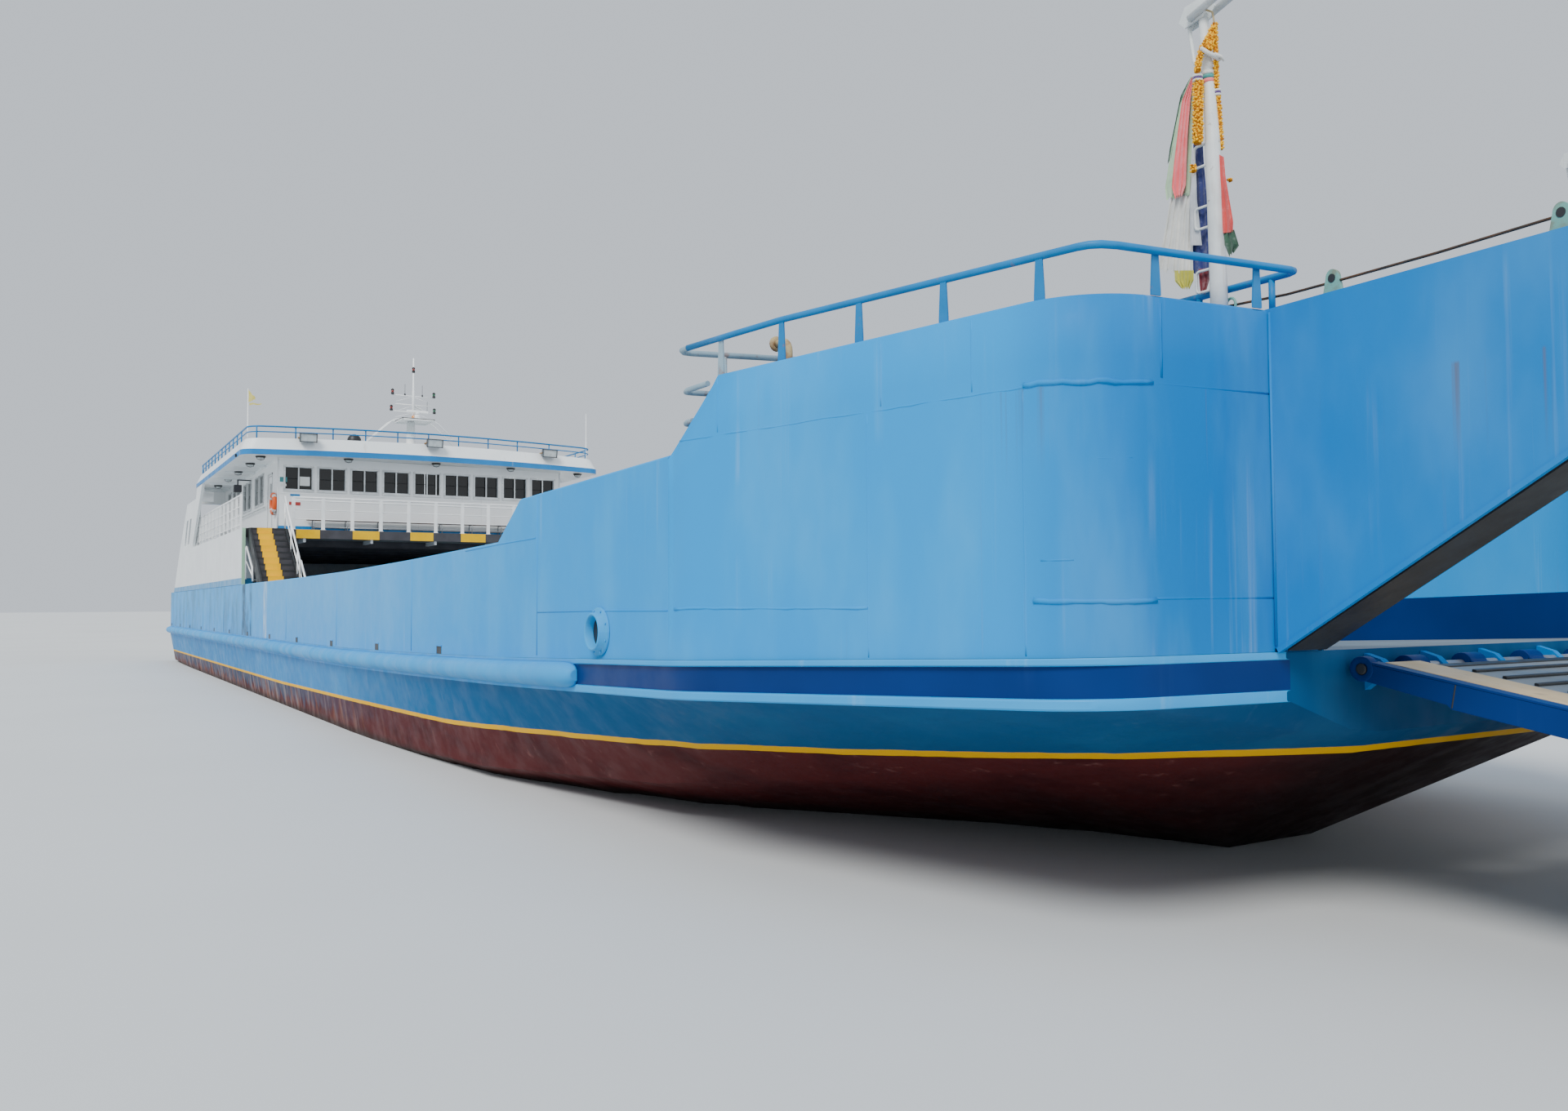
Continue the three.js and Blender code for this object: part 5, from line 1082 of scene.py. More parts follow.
def stairs():
    shape = Shape()
    outer, inner, tread, risers = -5.9, -4.8, 0.28, 17
    x0, top, base = -4.8992, 5.06, 1.7208
    rise, end, lane = (top - base) / risers, x0 + risers * tread, (-5.665, -5.235)
    between = (outer + 0.05, inner - 0.05)
    yellow, black, white = 1, 2, 3
    for i in range(risers):
        x, z = x0 + i * tread, top - i * rise
        nose = x + tread
        shape.box((x, nose), between, (z - 0.045, z))
        shape.box((nose - 0.03, nose + 0.006), between, (z - 0.05, z + 0.004), black)
        if i:
            shape.box((x - 0.03, x - 0.002), between, (z - 0.03, z + rise - 0.04))
        shape.box((x + 0.001, nose + 0.009), lane, (z + 0.001, z + 0.007), yellow)
        shape.box((nose - 0.002, nose + 0.009), lane, (z - rise + 0.006, z + 0.003), yellow)
    heel = end - 2 * tread
    side = [(x0, top), (x0 + tread, top), (end, base + rise), (end, base), (heel, base), (x0, top - 0.35)]
    for span in ((outer, outer + 0.05), (inner - 0.05, inner)):
        shape.prism(side, 1, span, black)
    shape.prism([(x0, top - 0.3), (heel + 0.1, base), (heel, base), (x0, top - 0.35)], 1, between, black)
    y = inner - 0.03

    def at(i, up):
        return (x0 + (i + 0.5) * tread, y, top - i * rise + up)

    head = (x0 + 0.02, y, top + 1.04)
    shape.tube([head, at(0, 1.02), at(2, 0.9), at(9, 0.78), at(9.6, 0.7), at(9.6, 0)], 0.028, 10, white)
    shape.tube([at(0, 0.5), at(2, 0.46), at(9.6, 0.4)], 0.02, 8, white)
    lower = [at(10, 0), at(10, 0.86), at(10.6, 0.86), at(16, 0.8), at(16.2, 0.7), at(16.2, -0.02)]
    shape.tube(lower, 0.028, 10, white)
    shape.tube([at(10, 0.45), at(16.2, 0.42)], 0.02, 8, white)
    for i in (0, 4, 8, 13):
        shape.tube([at(i, -0.02), at(i, 0.82)], 0.024, 10, white)
    for run, radius, sides in (
        ([(-4.6, 3.45), (-4.6, 4.42), (-4.5, 4.45), (-3.28, 3.77), (-3.15, 3.36)], 0.028, 10),
        ([(-4.6, 4.02), (-3.2, 3.5)], 0.02, 8),
    ):
        shape.tube([(x, -5.975, z) for x, z in run], radius, sides, white)
    shape.pair("stair_flight", ["charcoal", "line_yellow", "dark_iron", "plain_white"], "stair")


# Roof and what stands on it

ROOF_FRONT = -5.2


def roof_outline(inset):
    """Half of the roof's plan, from its after corner round to the middle of its front edge."""
    corner = 0.4
    rows = [(-26.7 + inset, 5.08 - inset)] + [(-18.1 + 2.4 * i, HALF_BEAM - inset) for i in range(5)]
    centre = (ROOF_FRONT - corner - inset, HALF_BEAM - corner - inset)
    rows += around(centre, (corner, corner), angles(8, 90, 0))
    return rows + [(ROOF_FRONT + 0.08 * (1 - y / 5.67) - inset, y) for y in (5, 4, 3, 2, 1, 0)]


def roof_ring(inset):
    half = roof_outline(inset)
    return starboard(half) + half[-2::-1]


def roof():
    shape = Shape()
    stripe, top, black, runs = 1, 2, 3, 4
    levels = (
        (0.0, soffit, 0), (0.0, soffit, 0.015), (0.0, stripe_top, -0.015), (0.0, stripe_top, 0),
        (0.01, stripe_top, 0.005), (0.16, roof_top, -0.03), (0.17, roof_top, -0.01), (0.19, roof_top, 0),
    )
    rows = [[(x, y, level(y) + lift) for x, y in roof_ring(inset)] for inset, level, lift in levels]
    columns = [column[::-1] for column in zip(*rows)]
    shape.grid(columns + columns[:1], [0] * 3 + [stripe] * 4, False)
    across = [i / 8 - 1 for i in range(17)]
    for inset, level, slot in ((0.0, soffit, 0), (0.19, roof_top, top)):
        plate = [[(x, y * v, level(y * v)) for v in across] for x, y in roof_outline(inset)]
        shape.grid(plate if slot else [row[::-1] for row in plate], slot, False)
    for i in range(5):
        x = -8.5 - 2.4 * i
        shape.box((x, x + 0.05), (-5.85, 5.85), (7.38, 7.46))
    shape.box((-19.31, -19.19), (-5.9, 5.9), (7.4, 7.51))
    for hand in (-1, 1):
        shape.box((-19.2, -6.08), (hand * 4.83, hand * 4.88), (7.4, 7.47))
        shape.box((-6.36, -6.24), (hand * 6.05, hand * 6.12), (7.44, 7.53), black)
    for y in (-4.24, -0.08):
        x = ROOF_FRONT + 0.08 * (1 + y / 5.67)
        patch = [(x - 0.079, 7.77), (x - 0.076, 7.77), (x - 0.108, 7.86), (x - 0.111, 7.86)]
        shape.prism(patch, 1, (y - 0.11, y + 0.11), runs)
    mats = ["roof_paint", "stripe_blue", "roof_top_grey", "dark_iron", "rust_run"]
    shape.build("roof_shell", mats, ["roof"])


def roof_rail():
    shape = Shape()
    inset, after = 0.23, -26.7
    side = HALF_BEAM - inset

    def level(y):
        return 8.48 - 0.0034 * y * y

    for drop, r in ((0.0, 0.027), (0.175, 0.019)):
        shape.tube([(x, y, level(y) - drop) for x, y in roof_ring(inset)], r, closed=True)
    feet = [(-7 - i, h * side) for h in (-1, 1) for i in range(12)]
    feet += [(-20 - 2 * i, h * (side - 0.99 * (1.9 + 2 * i) / 8.6)) for h in (-1, 1) for i in range(4)]
    fore = (-5.6, -4.43, -3.27, -2.23, -1.18, -0.14, 0.9, 1.95, 3.01, 4.2, 5.6)
    feet += [(ROOF_FRONT - inset, y) for y in fore] + [(after + inset, (i - 2) * 2.2) for i in range(5)]
    for x, y in feet:
        shape.tube([(x, y, roof_top(y) - 0.01), (x, y, level(y))], 0.022)
    shape.build("roof_railing", ["rail_blue"], ["roof_rail"])


def life_rings():
    shape = Shape()
    x, y, z = -6.48, -4.926, 5.98

    def hoop(a, grow=0.0):
        section = around((0.3, 0), (0.075 + grow, 0.07 + grow), angles(14)[:-1])
        return [(x + out * math.cos(a), y + side, z + out * math.sin(a)) for out, side in section]

    shape.grid([hoop(a) for a in angles(48)], 0, True, True)
    for middle in angles(4, 45, 405)[:-1]:
        band = [hoop(middle + turn, 0.0025) for turn in (-0.16, -0.08, 0, 0.08, 0.16)]
        shape.grid(band, 1, True, True, True)
    for dx in (-0.2, 0.2):
        shape.box((x + dx - 0.02, x + dx + 0.02), (y - 0.02, y + 0.076), (z - 0.36, z - 0.3), 2)
    shape.pair("life_ring_body", ["ring_orange", "reflective_tape", "galvanised"], "life_ring")


def lantern(shape, centre, glass):
    for profile, slot in (
        ([(0.04, -0.14), (0.055, -0.13), (0.055, -0.07), (0.045, -0.065)], 1),
        ([(0.045, -0.065), (0.048, -0.03), (0.045, 0.01)], glass),
        ([(0.055, 0.01), (0.055, 0.035), (0.025, 0.07)], 1),
    ):
        shape.lathe(profile, centre, UP, 12, slot)


def mast():
    shape = Shape()
    x, foot, floor = -8.0, 8.1, 9.3
    aft, fore, side = x - 0.45, x + 0.75, 0.57
    black, red, green, amber, trim = range(1, 6)
    column = [(0.22, 0), (0.22, 0.02), (0.17, 0.025), (0.14, floor - foot - 0.06)]
    shape.lathe(column, (x, -0.08, foot), UP, 20)
    shape.box((aft, fore), (-side, side), (floor - 0.03, floor - 0.005))
    for y in (-side, side - 0.02):
        shape.box((aft, fore), (y, y + 0.02), (floor - 0.07, floor))
    for edge in (aft, fore - 0.02):
        shape.box((edge, edge + 0.02), (-side, side), (floor - 0.07, floor))
    pole = [(0.05, floor - 0.02), (0.042, 10.4), (0.034, 10.42), (0.026, 11.58), (0.01, 11.6)]
    shape.lathe(pole, (x, 0, 0), UP, 12)
    for z, half in ((10.2, 0.76), (9.88, 0.64), (9.62, 0.8)):
        shape.tube([(x, -half, z), (x, half, z)], 0.018)
        for y in (-half * 0.8, half * 0.8):
            shape.tube([(x, y, z - 0.22), (x, 0, z - 0.02)], 0.009, 6)
    for y, z in ((-0.74, 10.35), (0.74, 10.33), (-0.78, 9.76), (0.76, 9.75)):
        lantern(shape, (x, y, z), red if y < 0 else green)
    lantern(shape, (x, 0, 11.2), red)
    for y, z in ((-0.3, 10.2), (0.32, 10.2), (0.5, 9.62)):
        shape.tube([(x, y, z), (x, y, z + 0.42)], 0.008, 6, black)
        shape.lathe([(0.03, 0), (0.034, 0.03), (0.01, 0.07)], (x, y, z + 0.02), UP, 10, black)
    shape.lathe([(0.09, 0), (0.1, 0.03), (0.1, 0.15), (0.05, 0.19)], (x + 0.17, 0, 9.295), UP, 14, amber)
    shape.box((x - 0.12, x - 0.03), (0.06, 0.3), (9.64, 9.86), trim)
    for hand in (-1, 1):
        for dx in (-0.3, 0.3):
            leg = [(0.5, 9.28), (0.68, 9.29), (0.84, 9.2), (2.0, roof_top(2))]
            shape.tube([(x + dx, hand * y, z) for y, z in leg], 0.02)
            shape.lathe([(0.05, 0), (0.05, 0.015)], (x + dx, hand * 2.0, roof_top(2)), UP, 10)
        for y, z in ((1.06, 8.97), (1.33, 8.68), (1.6, 8.4)):
            shape.tube([(x - 0.3, hand * y, z), (x + 0.3, hand * y, z)], 0.014, 6)
    seat = [(0.1, floor - 0.01), (0.1, floor + 0.13), (0.09, floor + 0.148)]
    shape.lathe(seat, (x + 0.57, 0, 0), UP, 18)
    mats = ["plain_white", "dark_iron", "lens_red", "lens_green", "lens_amber", "window_frame"]
    shape.build("signal_mast_body", mats, ["signal_mast"])


def radar():
    shape = Shape()
    x, z = -7.43, 9.462
    shape.lathe([(0.09, 0), (0.09, 0.05), (0.06, 0.07)], (x, 0, z), UP, 18)
    half = [(0.06, 0.05), (0.065, 0.075), (0.055, 0.12), (0.02, 0.14)]
    ring = half + [(-u, v) for u, v in half[::-1]]
    rows = []
    for y in (-0.38, -0.37, -0.3, 0.0, 0.3, 0.37, 0.38):
        size = 0.75 if abs(y) > 0.375 else 1.0
        rows.append([(x + u * size, y, z + 0.095 + (v - 0.095) * size) for u, v in ring])
    shape.grid(rows, 0, False, True, True)
    shape.box((x - 0.067, x - 0.063), (-0.34, 0.34), (z + 0.085, z + 0.1), 1)
    shape.build("radar_arm", ["plain_white", "dark_iron"], ["radar_scanner"], 0.004, "radar_scanner")


def dome_vent():
    shape = Shape()
    x, y, neck = -6.6, -2.35, 0.16
    cap = [(neck, -0.189), (neck, -0.02), (0.24, -0.015), (0.24, 0.0)]
    shape.lathe(cap + around((0, 0), (0.23, 0.23), angles(10, 0, 90)), (x, y, 8.25), UP, 28)
    for bx, by in around((x, y), (neck, neck), angles(24)[:-1]):
        shape.box((bx - 0.006, bx + 0.006), (by - 0.006, by + 0.006), (8.1, 8.22), 1)
    shape.build("dome_vent_body", ["dark_iron", "galvanised"], ["dome_vent"])


def floodlight(name, x, y, z):
    shape = Shape()
    glass, rusty, tilt = 1, 2, 0.17

    def push(outline, low, high, slot=0):
        shape.prism([(x + dx, z + dz) for dx, dz in outline], 1, (y + low, y + high), slot)

    push([(-0.1, 0), (-0.02, -0.03), (0.1, -0.055), (0.145, 0.21), (0.02, 0.25), (-0.03, 0.24)], -0.25, 0.25)
    for a, b, c, d in (
        (-0.27, 0.27, -0.06, -0.035), (-0.27, 0.27, 0.2, 0.225),
        (-0.27, -0.245, -0.06, 0.225), (0.245, 0.27, -0.06, 0.225),
    ):
        foot, head = (c + 0.06) * tilt, (d + 0.06) * tilt
        push([(0.1 + foot, c), (0.128 + foot, c), (0.128 + head, d), (0.1 + head, d)], a, b)
    push([(0.107, -0.03), (0.111, -0.03), (0.15, 0.2), (0.146, 0.2)], -0.24, 0.24, glass)
    for i in range(6):
        fin = 0.08 * i - 0.2
        push([(-0.08, 0), (-0.02, -0.02), (0, 0.25), (-0.05, 0.26)], fin - 0.004, fin + 0.004)
    for side in (y - 0.26, y + 0.26):
        shape.box((x - 0.25, x + 0.04), (side - 0.008, side + 0.008), (z + 0.09, z + 0.13), rusty)
    shape.box((x - 0.26, x - 0.2), (y - 0.27, y + 0.27), (z + 0.07, z + 0.13), rusty)
    mats = ["lamp_steel", "lamp_glass", "rusty_edge"]
    shape.build(f"floodlight_{name}_body", mats, [f"floodlight_{name}"], 0.004)


def floodlights():
    floodlight("starboard", -5.17, -4.1, 7.96)
    floodlight("middle", -5.1, -0.04, 8.04)
    floodlight("port", -5.17, 4.1, 7.96)


def flag_staffs():
    top = 9.7
    for side, x, y in (("starboard", -6.32, -5.75), ("port", -5.72, 5.75)):
        shape = Shape()
        pole = [(0.07, 0), (0.07, 0.02), (0.03, 0.05), (0.02, 0.06), (0.012, top - 8.0)]
        shape.lathe(pole, (x, y, 7.98), UP, 12)
        shape.ball((x, y, top - 0.02), 0.02)
        shape.build(f"flag_staff_{side}_pole", ["plain_white"], [f"flag_staff_{side}"])


def liferafts():
    shape = Shape()
    x, y, z = -15.5, -4.9, 8.48
    half = [(0.05, -0.6), (0.2, -0.59), (0.27, -0.54), (0.285, -0.46), (0.285, -0.28), (0.3, -0.27)]
    half += [(0.3, -0.22), (0.285, -0.21)]
    shape.lathe(half + [(0.285, 0.0)] + [(r, -t) for r, t in half[::-1]], (x, y, z), AHEAD, 28)
    shape.box((x - 0.56, x + 0.56), (y - 0.299, y + 0.299), (z - 0.015, z + 0.015))
    strap = [(0.287, -0.03), (0.292, -0.025), (0.292, 0.025), (0.287, 0.03)]
    cradle = [(-0.3, -0.48), (0.3, -0.48), (0.3, -0.1), (0.24, -0.17), (0, -0.29)]
    cradle += [(-0.24, -0.17), (-0.3, -0.1)]
    for d in (-0.35, 0.35):
        shape.lathe(strap, (x + d * 0.35, y, z), AHEAD, 28, 1)
        shape.prism([(y + across, z + up) for across, up in cradle], 0, (x + d - 0.03, x + d + 0.03), 2)
    shape.pair("liferaft_canister", ["raft_shell", "dark_iron", "galvanised"], "liferaft", 0.004)


def funnels():
    shape = Shape()
    shape.prism([(-23.6, 8.0), (-21.9, 8.0), (-22.2, 9.5), (-23.5, 9.35)], 1, (-4.1, -3.1))
    for i in range(8):
        z = 8.35 + i * 0.09
        shape.prism([(-4.1, z), (-4.13, z + 0.01), (-4.1, z + 0.06)], 0, (-23.2, -22.4))
    for x in (-22.6, -23.1):
        shape.tube([(x, -3.6, 9.3), (x - 0.1, -3.6, 9.75), (x - 0.2, -3.6, 9.93)], 0.125, 18, 1)
        shape.lathe([(0.15, 0), (0.15, 0.05)], (x, -3.6, 9.44), UP, 18)
    shape.pair("funnel_trunk", ["deckhouse_white", "dark_iron"], "funnel", 0.015)


def flag():
    """The torn flag on the starboard staff, blown forward and inboard."""
    x, y, steps = -6.305, -5.74, 14
    upper, lower = [], []
    for i in range(steps + 1):
        t = i / steps
        reach, wave = 0.16 * t, 0.02 * math.sin(t * 8) * t
        top, low = 9.68 - 0.2 * t, 9.25 + 0.02 * t + 0.08 * t * abs(math.sin(9 * t))
        row = []
        for v in (0, 0.25, 0.5, 0.75, 1):
            side = reach + wave + 0.008 * math.sin(4 * v + 6 * t)
            row.append((x + reach, y + side, low + (top - low) * v * (1 - 0.35 * t * (v > 0.6))))
        upper.append(row)
        reach = 0.03 + 0.3 * t
        foot = 9.14 + 0.03 * t + 0.02 * math.sin(6 * t)
        lower.append([(x + reach, y + reach + wave, foot + 0.07 * v * (1 - 0.55 * t)) for v in (0, 0.5, 1)])
    obj = Shape().grid(upper).grid(lower).build("torn_flag", ["flag_yellow"])


# Post, garland and ribbons

POST_X, POST_Y = 29.35, -3.18


def beside(u, z, near=0.0):
    """A point u metres right of the post's axis as photographed, drawn near metres towards the eye."""
    spot = Vector((POST_X + 0.5275 * u, POST_Y + 0.8496 * u, z))
    return spot + (EYE - spot).normalized() * near


def hung(u, z, near=0.0):
    """The same for cloth, which hangs fore and aft, near metres outboard of the post's axis."""
    sight = beside(u, z) - EYE
    return EYE + sight * ((POST_Y - near - EYE.y) / sight.y)


def bow_post():
    shape = Shape()
    x, y, top = POST_X, POST_Y, 7.59
    rusty, white, steel, lens = range(1, 5)
    shape.box((x - 0.14, x + 0.14), (y - 0.1, y + 0.1), (4.841, 4.862), rusty)
    lean = [(0.055, 4.86, 0.071), (0.05, 5.2, 0.07), (0.035, 5.85, 0.066), (0.02, 6.4, 0.062)]
    lean += [(0.0, 6.85, 0.05), (-0.03, 7.2, 0.042), (-0.05, 7.5, 0.04)]
    shape.tube([(x + dx, y, z) for dx, z, _ in lean], [r for _, _, r in lean], 24)
    centre = x + 0.055
    for a in angles(4, 45, 405)[:-1]:
        along, across = math.cos(a), math.sin(a)
        tip, out = centre + 0.08 * along, y + 0.1 * across
        root = (centre + 0.06 * along, y + 0.06 * across)
        shape.prism([root, (tip + 0.006, out), (tip - 0.006, out)], 2, (4.86, 4.96))
    pipe = [(-0.2, top - 0.04), (-0.185, 7.4), (-0.15, 7.15), (-0.05, 6.95)]
    shape.tube([(x + dx, y, z) for dx, z in pipe], 0.017, 10)
    for z in (5.26, 5.795, 6.32):
        base, out = x + 0.05 - 0.045 * (z - 5), x - 0.17
        half = [(base, 0.09), (out + 0.03, 0.09), (out + 0.008, 0.08), (out, 0.055)]
        bend = half + [(px, -up) for px, up in half[::-1]]
        shape.tube([(px, y, z + up) for px, up in bend], 0.012)
    cheek = [(-0.26, -0.08), (-0.2, 0.03), (0.0, 0.05), (0.04, -0.03), (-0.02, -0.12), (-0.2, -0.15)]
    for low in (y - 0.05, y + 0.035):
        shape.prism([(x + dx, top + dz) for dx, dz in cheek], 1, (low, low + 0.015))
    sheave = [(0.02, -0.04), (0.06, -0.035), (0.045, 0), (0.06, 0.035), (0.02, 0.04)]
    shape.lathe(sheave, (x - 0.1, y, top - 0.06), ACROSS, 20, white)
    for side in (y - 0.067, y + 0.067):
        shape.tube([(x - 0.14, side, top - 0.1), (x + 1.64, side, top + 0.4)], 0.032, 12)
    for t in (0.25, 0.6, 0.95):
        px, pz = x - 0.14 + 1.78 * t, top - 0.1 + 0.5 * t
        shape.box((px - 0.02, px + 0.02), (y - 0.07, y + 0.07), (pz - 0.02, pz + 0.02))
    shape.box((x + 1.44, x + 1.66), (y - 0.12, y + 0.12), (top + 0.29, top + 0.35), white)
    housing = [(1.35, 0.13), (1.72, 0.13), (1.74, 0.17), (1.68, 0.3), (1.41, 0.3)]
    shape.prism([(x + dx, top + dz) for dx, dz in housing], 1, (y - 0.2, y + 0.2), steel)
    shape.box((x + 1.38, x + 1.7), (y - 0.17, y + 0.17), (top + 0.118, top + 0.131), lens)
    mats = ["post_white", "rusty_edge", "plain_white", "lamp_steel", "lamp_glass"]
    shape.pair("bow_post_column", mats, "bow_post")


def placed(path):
    return [beside(*point) for point in path]


def strand(shape, path, thick, seed):
    """Flower heads threaded along a path, thick metres across, round a core of darker petals."""
    pick = random.Random(seed)
    points = placed(path)
    shape.tube(points, thick * 0.33, 8, 1)
    heads = max(4, round(thick * 95))
    for a, b in zip(points, points[1:]):
        count = max(1, round((b - a).length / 0.017))
        for i in range(count):
            middle = a.lerp(b, i / count)
            turn = pick.uniform(0, 6.28)
            for step in angles(heads)[:-1]:
                reach = thick / 2 * pick.uniform(0.68, 0.84)
                across, out = math.cos(turn + step) * reach, math.sin(turn + step) * reach
                spot = middle + Vector((across, out, pick.uniform(-0.009, 0.009)))
                shape.ball(spot, pick.uniform(0.009, 0.0125), 1 if pick.random() < 0.14 else 0, 4, 6, 0.8)


def garland():
    shape = Shape()
    white, purple, twine = 2, 3, 4
    apex = (0.052, 7.4, 0.07)
    loop = [apex, (-0.002, 7.29, 0.085), (-0.058, 7.19, 0.085), (-0.088, 7.08, 0.07), (-0.1, 6.99, 0.05)]
    strand(shape, loop, 0.058, 1)
    drop = [(0.054, 7.39, 0.07), (0.058, 7.26, 0.07), (0.058, 7.08, 0.05), (0.058, 6.86, 0.04)]
    strand(shape, drop, 0.042, 2)
    strand(shape, [(0.03, 7.3, 0.075), (0.005, 7.22, 0.085), (-0.01, 7.17, 0.085)], 0.075, 3)
    strand(shape, [(-0.093, 6.92, 0.04), (-0.101, 6.65, 0.035), (-0.107, 6.39, 0.03)], 0.095, 4)
    strand(shape, [(0.07, 6.79, 0.04), (0.08, 6.55, 0.04), (0.086, 6.34, 0.04)], 0.045, 5)
    for u, z, thick in ((-0.098, 6.945, 0.042), (0.066, 6.825, 0.028)):
        band = [(thick - 0.01, -0.01), (thick, -0.007), (thick, 0.007), (thick - 0.01, 0.01)]
        for dz, slot in ((-0.018, white), (0.0, purple), (0.018, white)):
            shape.lathe(band, beside(u, z + dz, 0.04), UP, 16, slot)
    strand(shape, [(-0.15, 6.21, 0.05), (-0.145, 6.15, 0.05)], 0.05, 6)
    strand(shape, [(0.15, 6.1, 0.03), (0.157, 6.07, 0.03)], 0.04, 7)
    tie = placed([apex, (0.045, 7.46, 0.055), (0.035, 7.51, 0.045), (-0.02, 7.53, 0.04)])
    shape.tube(tie, 0.008, 6, twine)
    knot = [(-0.06, 7.2, 0.115), (-0.01, 7.165, 0.13), (0.045, 7.135, 0.125), (0.085, 7.11, 0.08)]
    knot += [(0.08, 7.12, -0.05), (-0.05, 7.19, -0.05)]
    shape.tube(placed(knot), 0.018, 8, white, True)
    tail = placed([(0.045, 7.15, 0.13), (0.1, 7.13, 0.12), (0.125, 7.09, 0.11)])
    shape.tube(tail, [0.018, 0.014, 0.005], 8, white)
    mats = ["flower_orange", "flower_deep_orange", "cloth_white", "cloth_purple", "twine"]
    shape.build("garland_flowers", mats, ["garland"])


def cloth(name, mat, left, right, near, folds, depth, columns, hem, seed):
    """A hanging cloth between two edges given as (u, z) from its top to its foot, gathered into folds."""
    pick = random.Random(seed)
    phases = [pick.uniform(0, 6.28) for _ in range(3)]
    steps = 26

    def along(edge, t):
        spot = t * (len(edge) - 1)
        i = min(int(spot), len(edge) - 2)
        f = spot - i
        ease = f * f * (3 - 2 * f) * 0.35 + f * 0.65
        return [a + (b - a) * ease for a, b in zip(edge[i], edge[i + 1])]

    rows = []
    for step in range(steps + 1):
        t = step / steps
        (lu, lz), (ru, rz) = along(left, t), along(right, t)
        swell = depth * (0.35 + 0.65 * t)
        row = []
        for c in range(columns + 1):
            v = c / columns
            turn = 2 * math.pi * folds * v
            wave = math.sin(turn + phases[0] + 1.1 * t) + 0.35 * math.sin(2.3 * turn + phases[1] - 1.7 * t)
            drop = hem * t * math.sin(turn + phases[2])
            row.append(hung(lu + (ru - lu) * v, lz + (rz - lz) * v + drop, near + swell * wave))
        rows.append(row)
    obj = Shape().grid(rows).build(name, [mat])
    return obj


# Name, paint, left and right edge, distance outboard, folds, depth of the folds, columns of the mesh, hem
RIBBONS = [
    ("dark_green", "green", [(-0.155, 6.96), (-0.243, 6.8), (-0.297, 6.55), (-0.34, 6.36), (-0.362, 6.22)],
     [(-0.146, 6.95), (-0.21, 6.76), (-0.262, 6.55), (-0.303, 6.38), (-0.318, 6.3)],
     -0.035, 1, 0.008, 8, 0.0),
    ("pale_green", "pale_green",
     [(-0.157, 6.96), (-0.248, 6.73), (-0.305, 6.47), (-0.352, 6.22), (-0.385, 6.03), (-0.375, 5.93)],
     [(-0.127, 6.96), (-0.141, 6.76), (-0.15, 6.48), (-0.165, 6.24), (-0.184, 5.97), (-0.21, 5.96)],
     -0.02, 3, 0.012, 22, 0.012),
    ("coral", "coral",
     [(-0.152, 6.95), (-0.232, 6.76), (-0.274, 6.48), (-0.308, 6.24), (-0.33, 6.04), (-0.302, 5.94)],
     [(-0.134, 6.96), (-0.163, 6.76), (-0.19, 6.48), (-0.205, 6.24), (-0.213, 6.06), (-0.25, 5.96)],
     0.015, 3, 0.014, 22, 0.015),
    ("white", "white", [(-0.258, 6.17), (-0.349, 5.92), (-0.387, 5.71), (-0.425, 5.52), (-0.458, 5.33)],
     [(-0.125, 6.16), (-0.122, 6.03), (-0.152, 5.85), (-0.165, 5.53), (-0.166, 5.31)],
     -0.03, 5, 0.016, 40, 0.015),
    ("grey_panel", "grey", [(-0.161, 6.11), (-0.185, 5.92), (-0.186, 5.71), (-0.187, 5.54)],
     [(-0.124, 6.13), (-0.123, 5.92), (-0.103, 5.71), (-0.089, 5.54)], 0.0, 1, 0.012, 12, 0.0),
    ("navy", "navy",
     [(-0.145, 6.39), (-0.145, 6.24), (-0.135, 6.06), (-0.14, 5.85), (-0.165, 5.52), (-0.17, 5.31)],
     [(-0.065, 6.39), (-0.06, 6.24), (-0.045, 6.03), (-0.035, 5.76), (-0.03, 5.5), (-0.03, 5.31)],
     -0.045, 2, 0.01, 18, 0.012),
    ("yellow_green", "yellow", [(-0.321, 5.33), (-0.318, 5.24), (-0.264, 5.18)],
     [(-0.162, 5.33), (-0.163, 5.25), (-0.199, 5.18)], -0.01, 5, 0.012, 30, 0.012),
    ("dark_red", "wine", [(-0.122, 5.34), (-0.116, 5.22), (-0.11, 5.15)],
     [(-0.034, 5.35), (-0.033, 5.24), (-0.062, 5.14)], -0.03, 2, 0.01, 14, 0.015),
    ("red", "red", [(0.056, 6.31), (0.058, 6.11), (0.068, 5.92), (0.07, 5.73), (0.077, 5.64)],
     [(0.107, 6.28), (0.119, 6.11), (0.147, 5.92), (0.174, 5.74), (0.169, 5.65)], 0.0, 2, 0.012, 18, 0.0),
    ("leaf_green", "green", [(0.077, 5.65), (0.093, 5.56), (0.137, 5.45)],
     [(0.181, 5.67), (0.218, 5.54), (0.172, 5.48)], -0.01, 2, 0.012, 18, 0.01),
]


def ribbons():
    for seed, (name, paint, *form) in enumerate(RIBBONS, 11):
        obj = cloth(f"ribbon_{name}", f"cloth_{paint}", *form, seed)
        if name == "dark_green":
            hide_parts("ribbons")
    shape = Shape()
    hoop = [(0.05, -0.017), (0.057, -0.013), (0.057, 0.013), (0.05, 0.017)]
    for slot, z in enumerate((6.99, 6.955, 6.92)):
        shape.lathe(hoop, (POST_X - 0.01, POST_Y, z), UP, 24, slot)
    band = shape.build("post_cloth_band", ["cloth_white", "cloth_teal", "cloth_coral"])


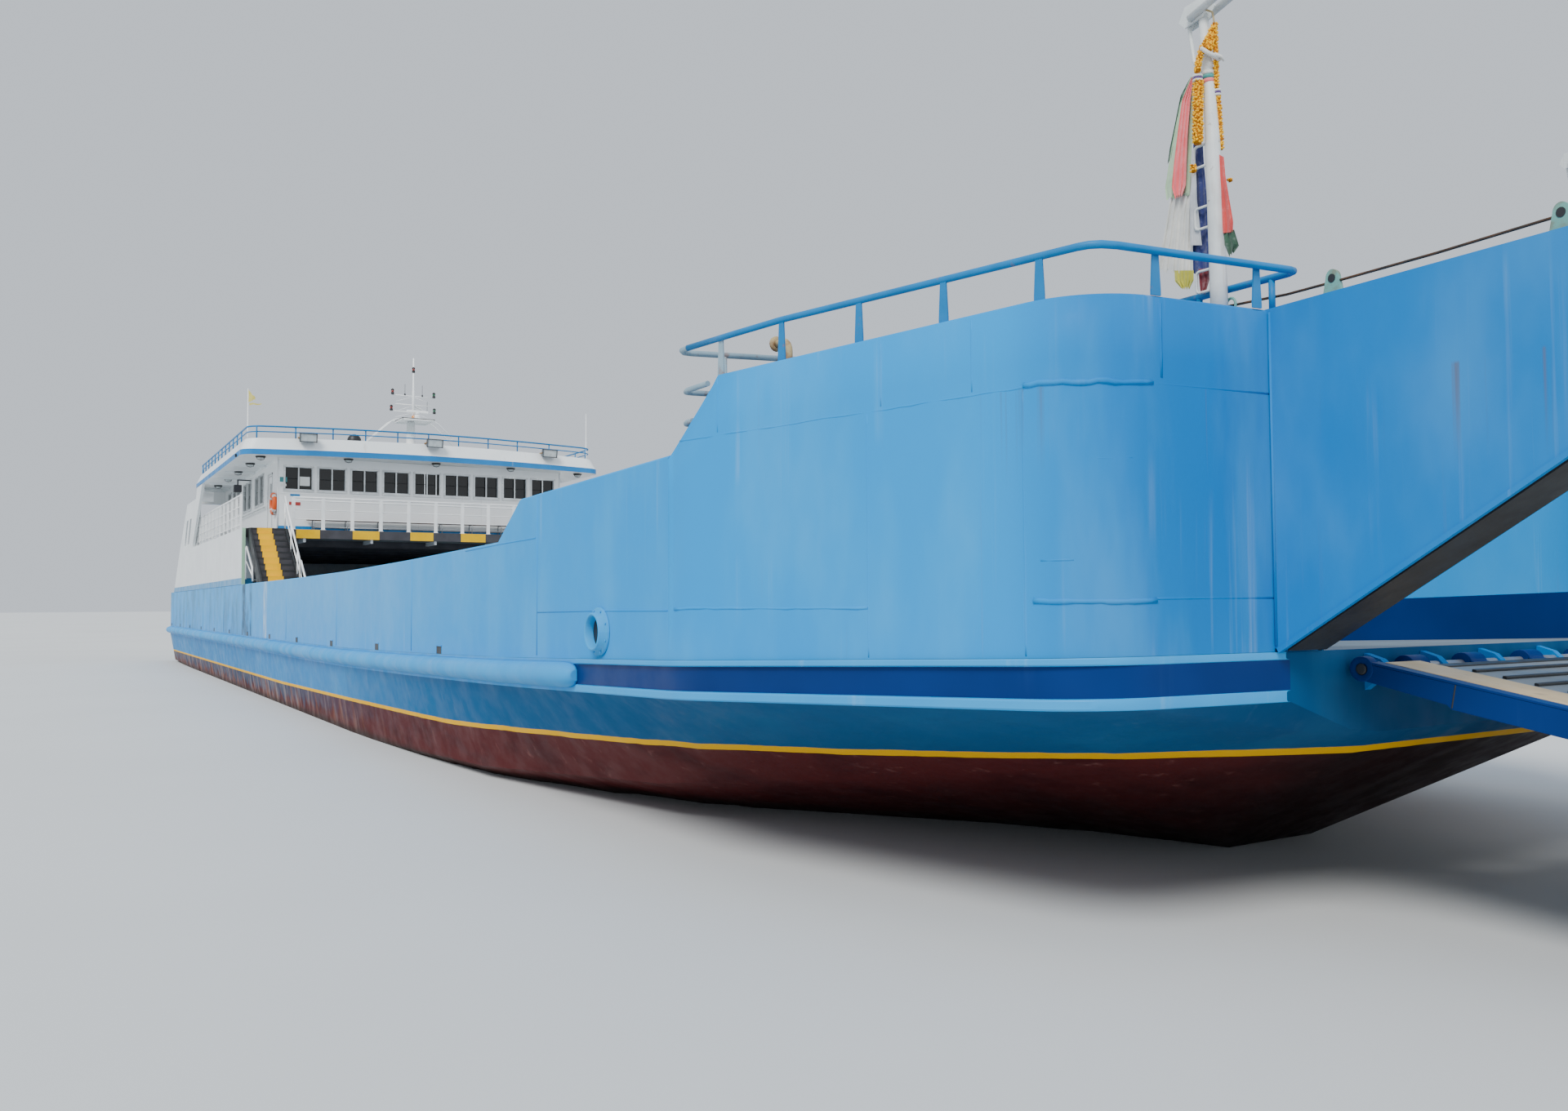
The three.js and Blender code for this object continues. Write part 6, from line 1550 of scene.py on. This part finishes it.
def bow_wires():
    """The taut wires along the horns, from an eye at each post's foot through the pad-eyes."""
    shape = Shape()
    line = [
        (29.3, -3.05, 5.05), (29.38, -3.04, 5.04), (29.72, -3.025, 5.03), (29.92, -3.025, 5.02),
        (30.39, -3.05, 5.02), (31.14, -3.05, 5.04), (31.96, -3.05, 5.08), (32.8, -3.05, 5.08),
        (33.45, -3.05, 5.12),
    ]
    shape.tube(line, 0.011)
    eye = around((29.44, 5.03), (0.045, 0.06), angles(16)[:-1])
    shape.tube([(x, -3.08, z) for x, z in eye], 0.011, 8, 1, True)
    shape.box((29.42, 29.46), (-3.09, -3.07), (4.841, 4.98), 1)
    shape.pair("horn_wire", ["wire_rope", "eye_green"])


def bench():
    """Wooden slats on steel frames, in front of the cabin's front wall."""
    shape = Shape()
    for x in (-5.97, -5.83, -5.69):
        shape.box((x - 0.055, x + 0.055), (-3.97, 3.97), (5.425, 5.455))
    leg = [(-6.0, 5.062), (-6.0, 5.4), (-5.99, 5.412), (-5.67, 5.412), (-5.66, 5.4), (-5.66, 5.062)]
    for i in range(8):
        shape.tube([(x, -3.79 + 1.05 * i, z) for x, z in leg], 0.016, 8, 1)
    for x in (-6.0, -5.66):
        shape.tube([(x, -3.79, 5.2), (x, 3.56, 5.2)], 0.012, 8, 1)
    shape.build("front_bench", ["bench_wood", "galvanised"], ["bench"])


def carried_over():
    """Materials for the CAD nodes that stay as they are."""
    walls = both("cabin_side") + both("cabin_door") + both("stern_door") + ["aft_bulkhead", "aft_house_front"]
    repaint(both("casing"), "casing_paint", 0.01)
    repaint(walls, "deckhouse_white", 0.008)
    repaint(both("side_glass") + ["front_glass"], "cabin_glass")
    repaint(["seats"], "seat_red", 0.012)
    repaint(["steering_console"], "charcoal", 0.01)
    repaint(both("propeller"), "propeller_bronze", 0.004)
    repaint(both("rudder"), "antifouling", 0.015)


# Run


def floor():
    mesh = bpy.data.meshes.new("floor")
    mesh.from_pydata([(-400, -400, 0), (400, -400, 0), (400, 400, 0), (-400, 400, 0)], [], [(0, 1, 2, 3)])
    mesh.materials.append(MATS["studio_floor"])
    linked("floor", mesh)


def main():
    camera()
    studio()
    materials()
    for make in (
        hull, fender, bulwark, stern_bulwark, bow_box, bow_rail, ramp, cabin_front, cabin_sides, soffit_lamps,
        passenger_deck, front_rail, side_rail, aft_rail, stairs, roof, roof_rail, life_rings, mast, radar,
        dome_vent, floodlights, flag_staffs, liferafts, funnels, flag, bow_post, garland, ribbons, bow_wires,
        bench, carried_over, floor,
    ):
        make()


random.seed(7)
main()
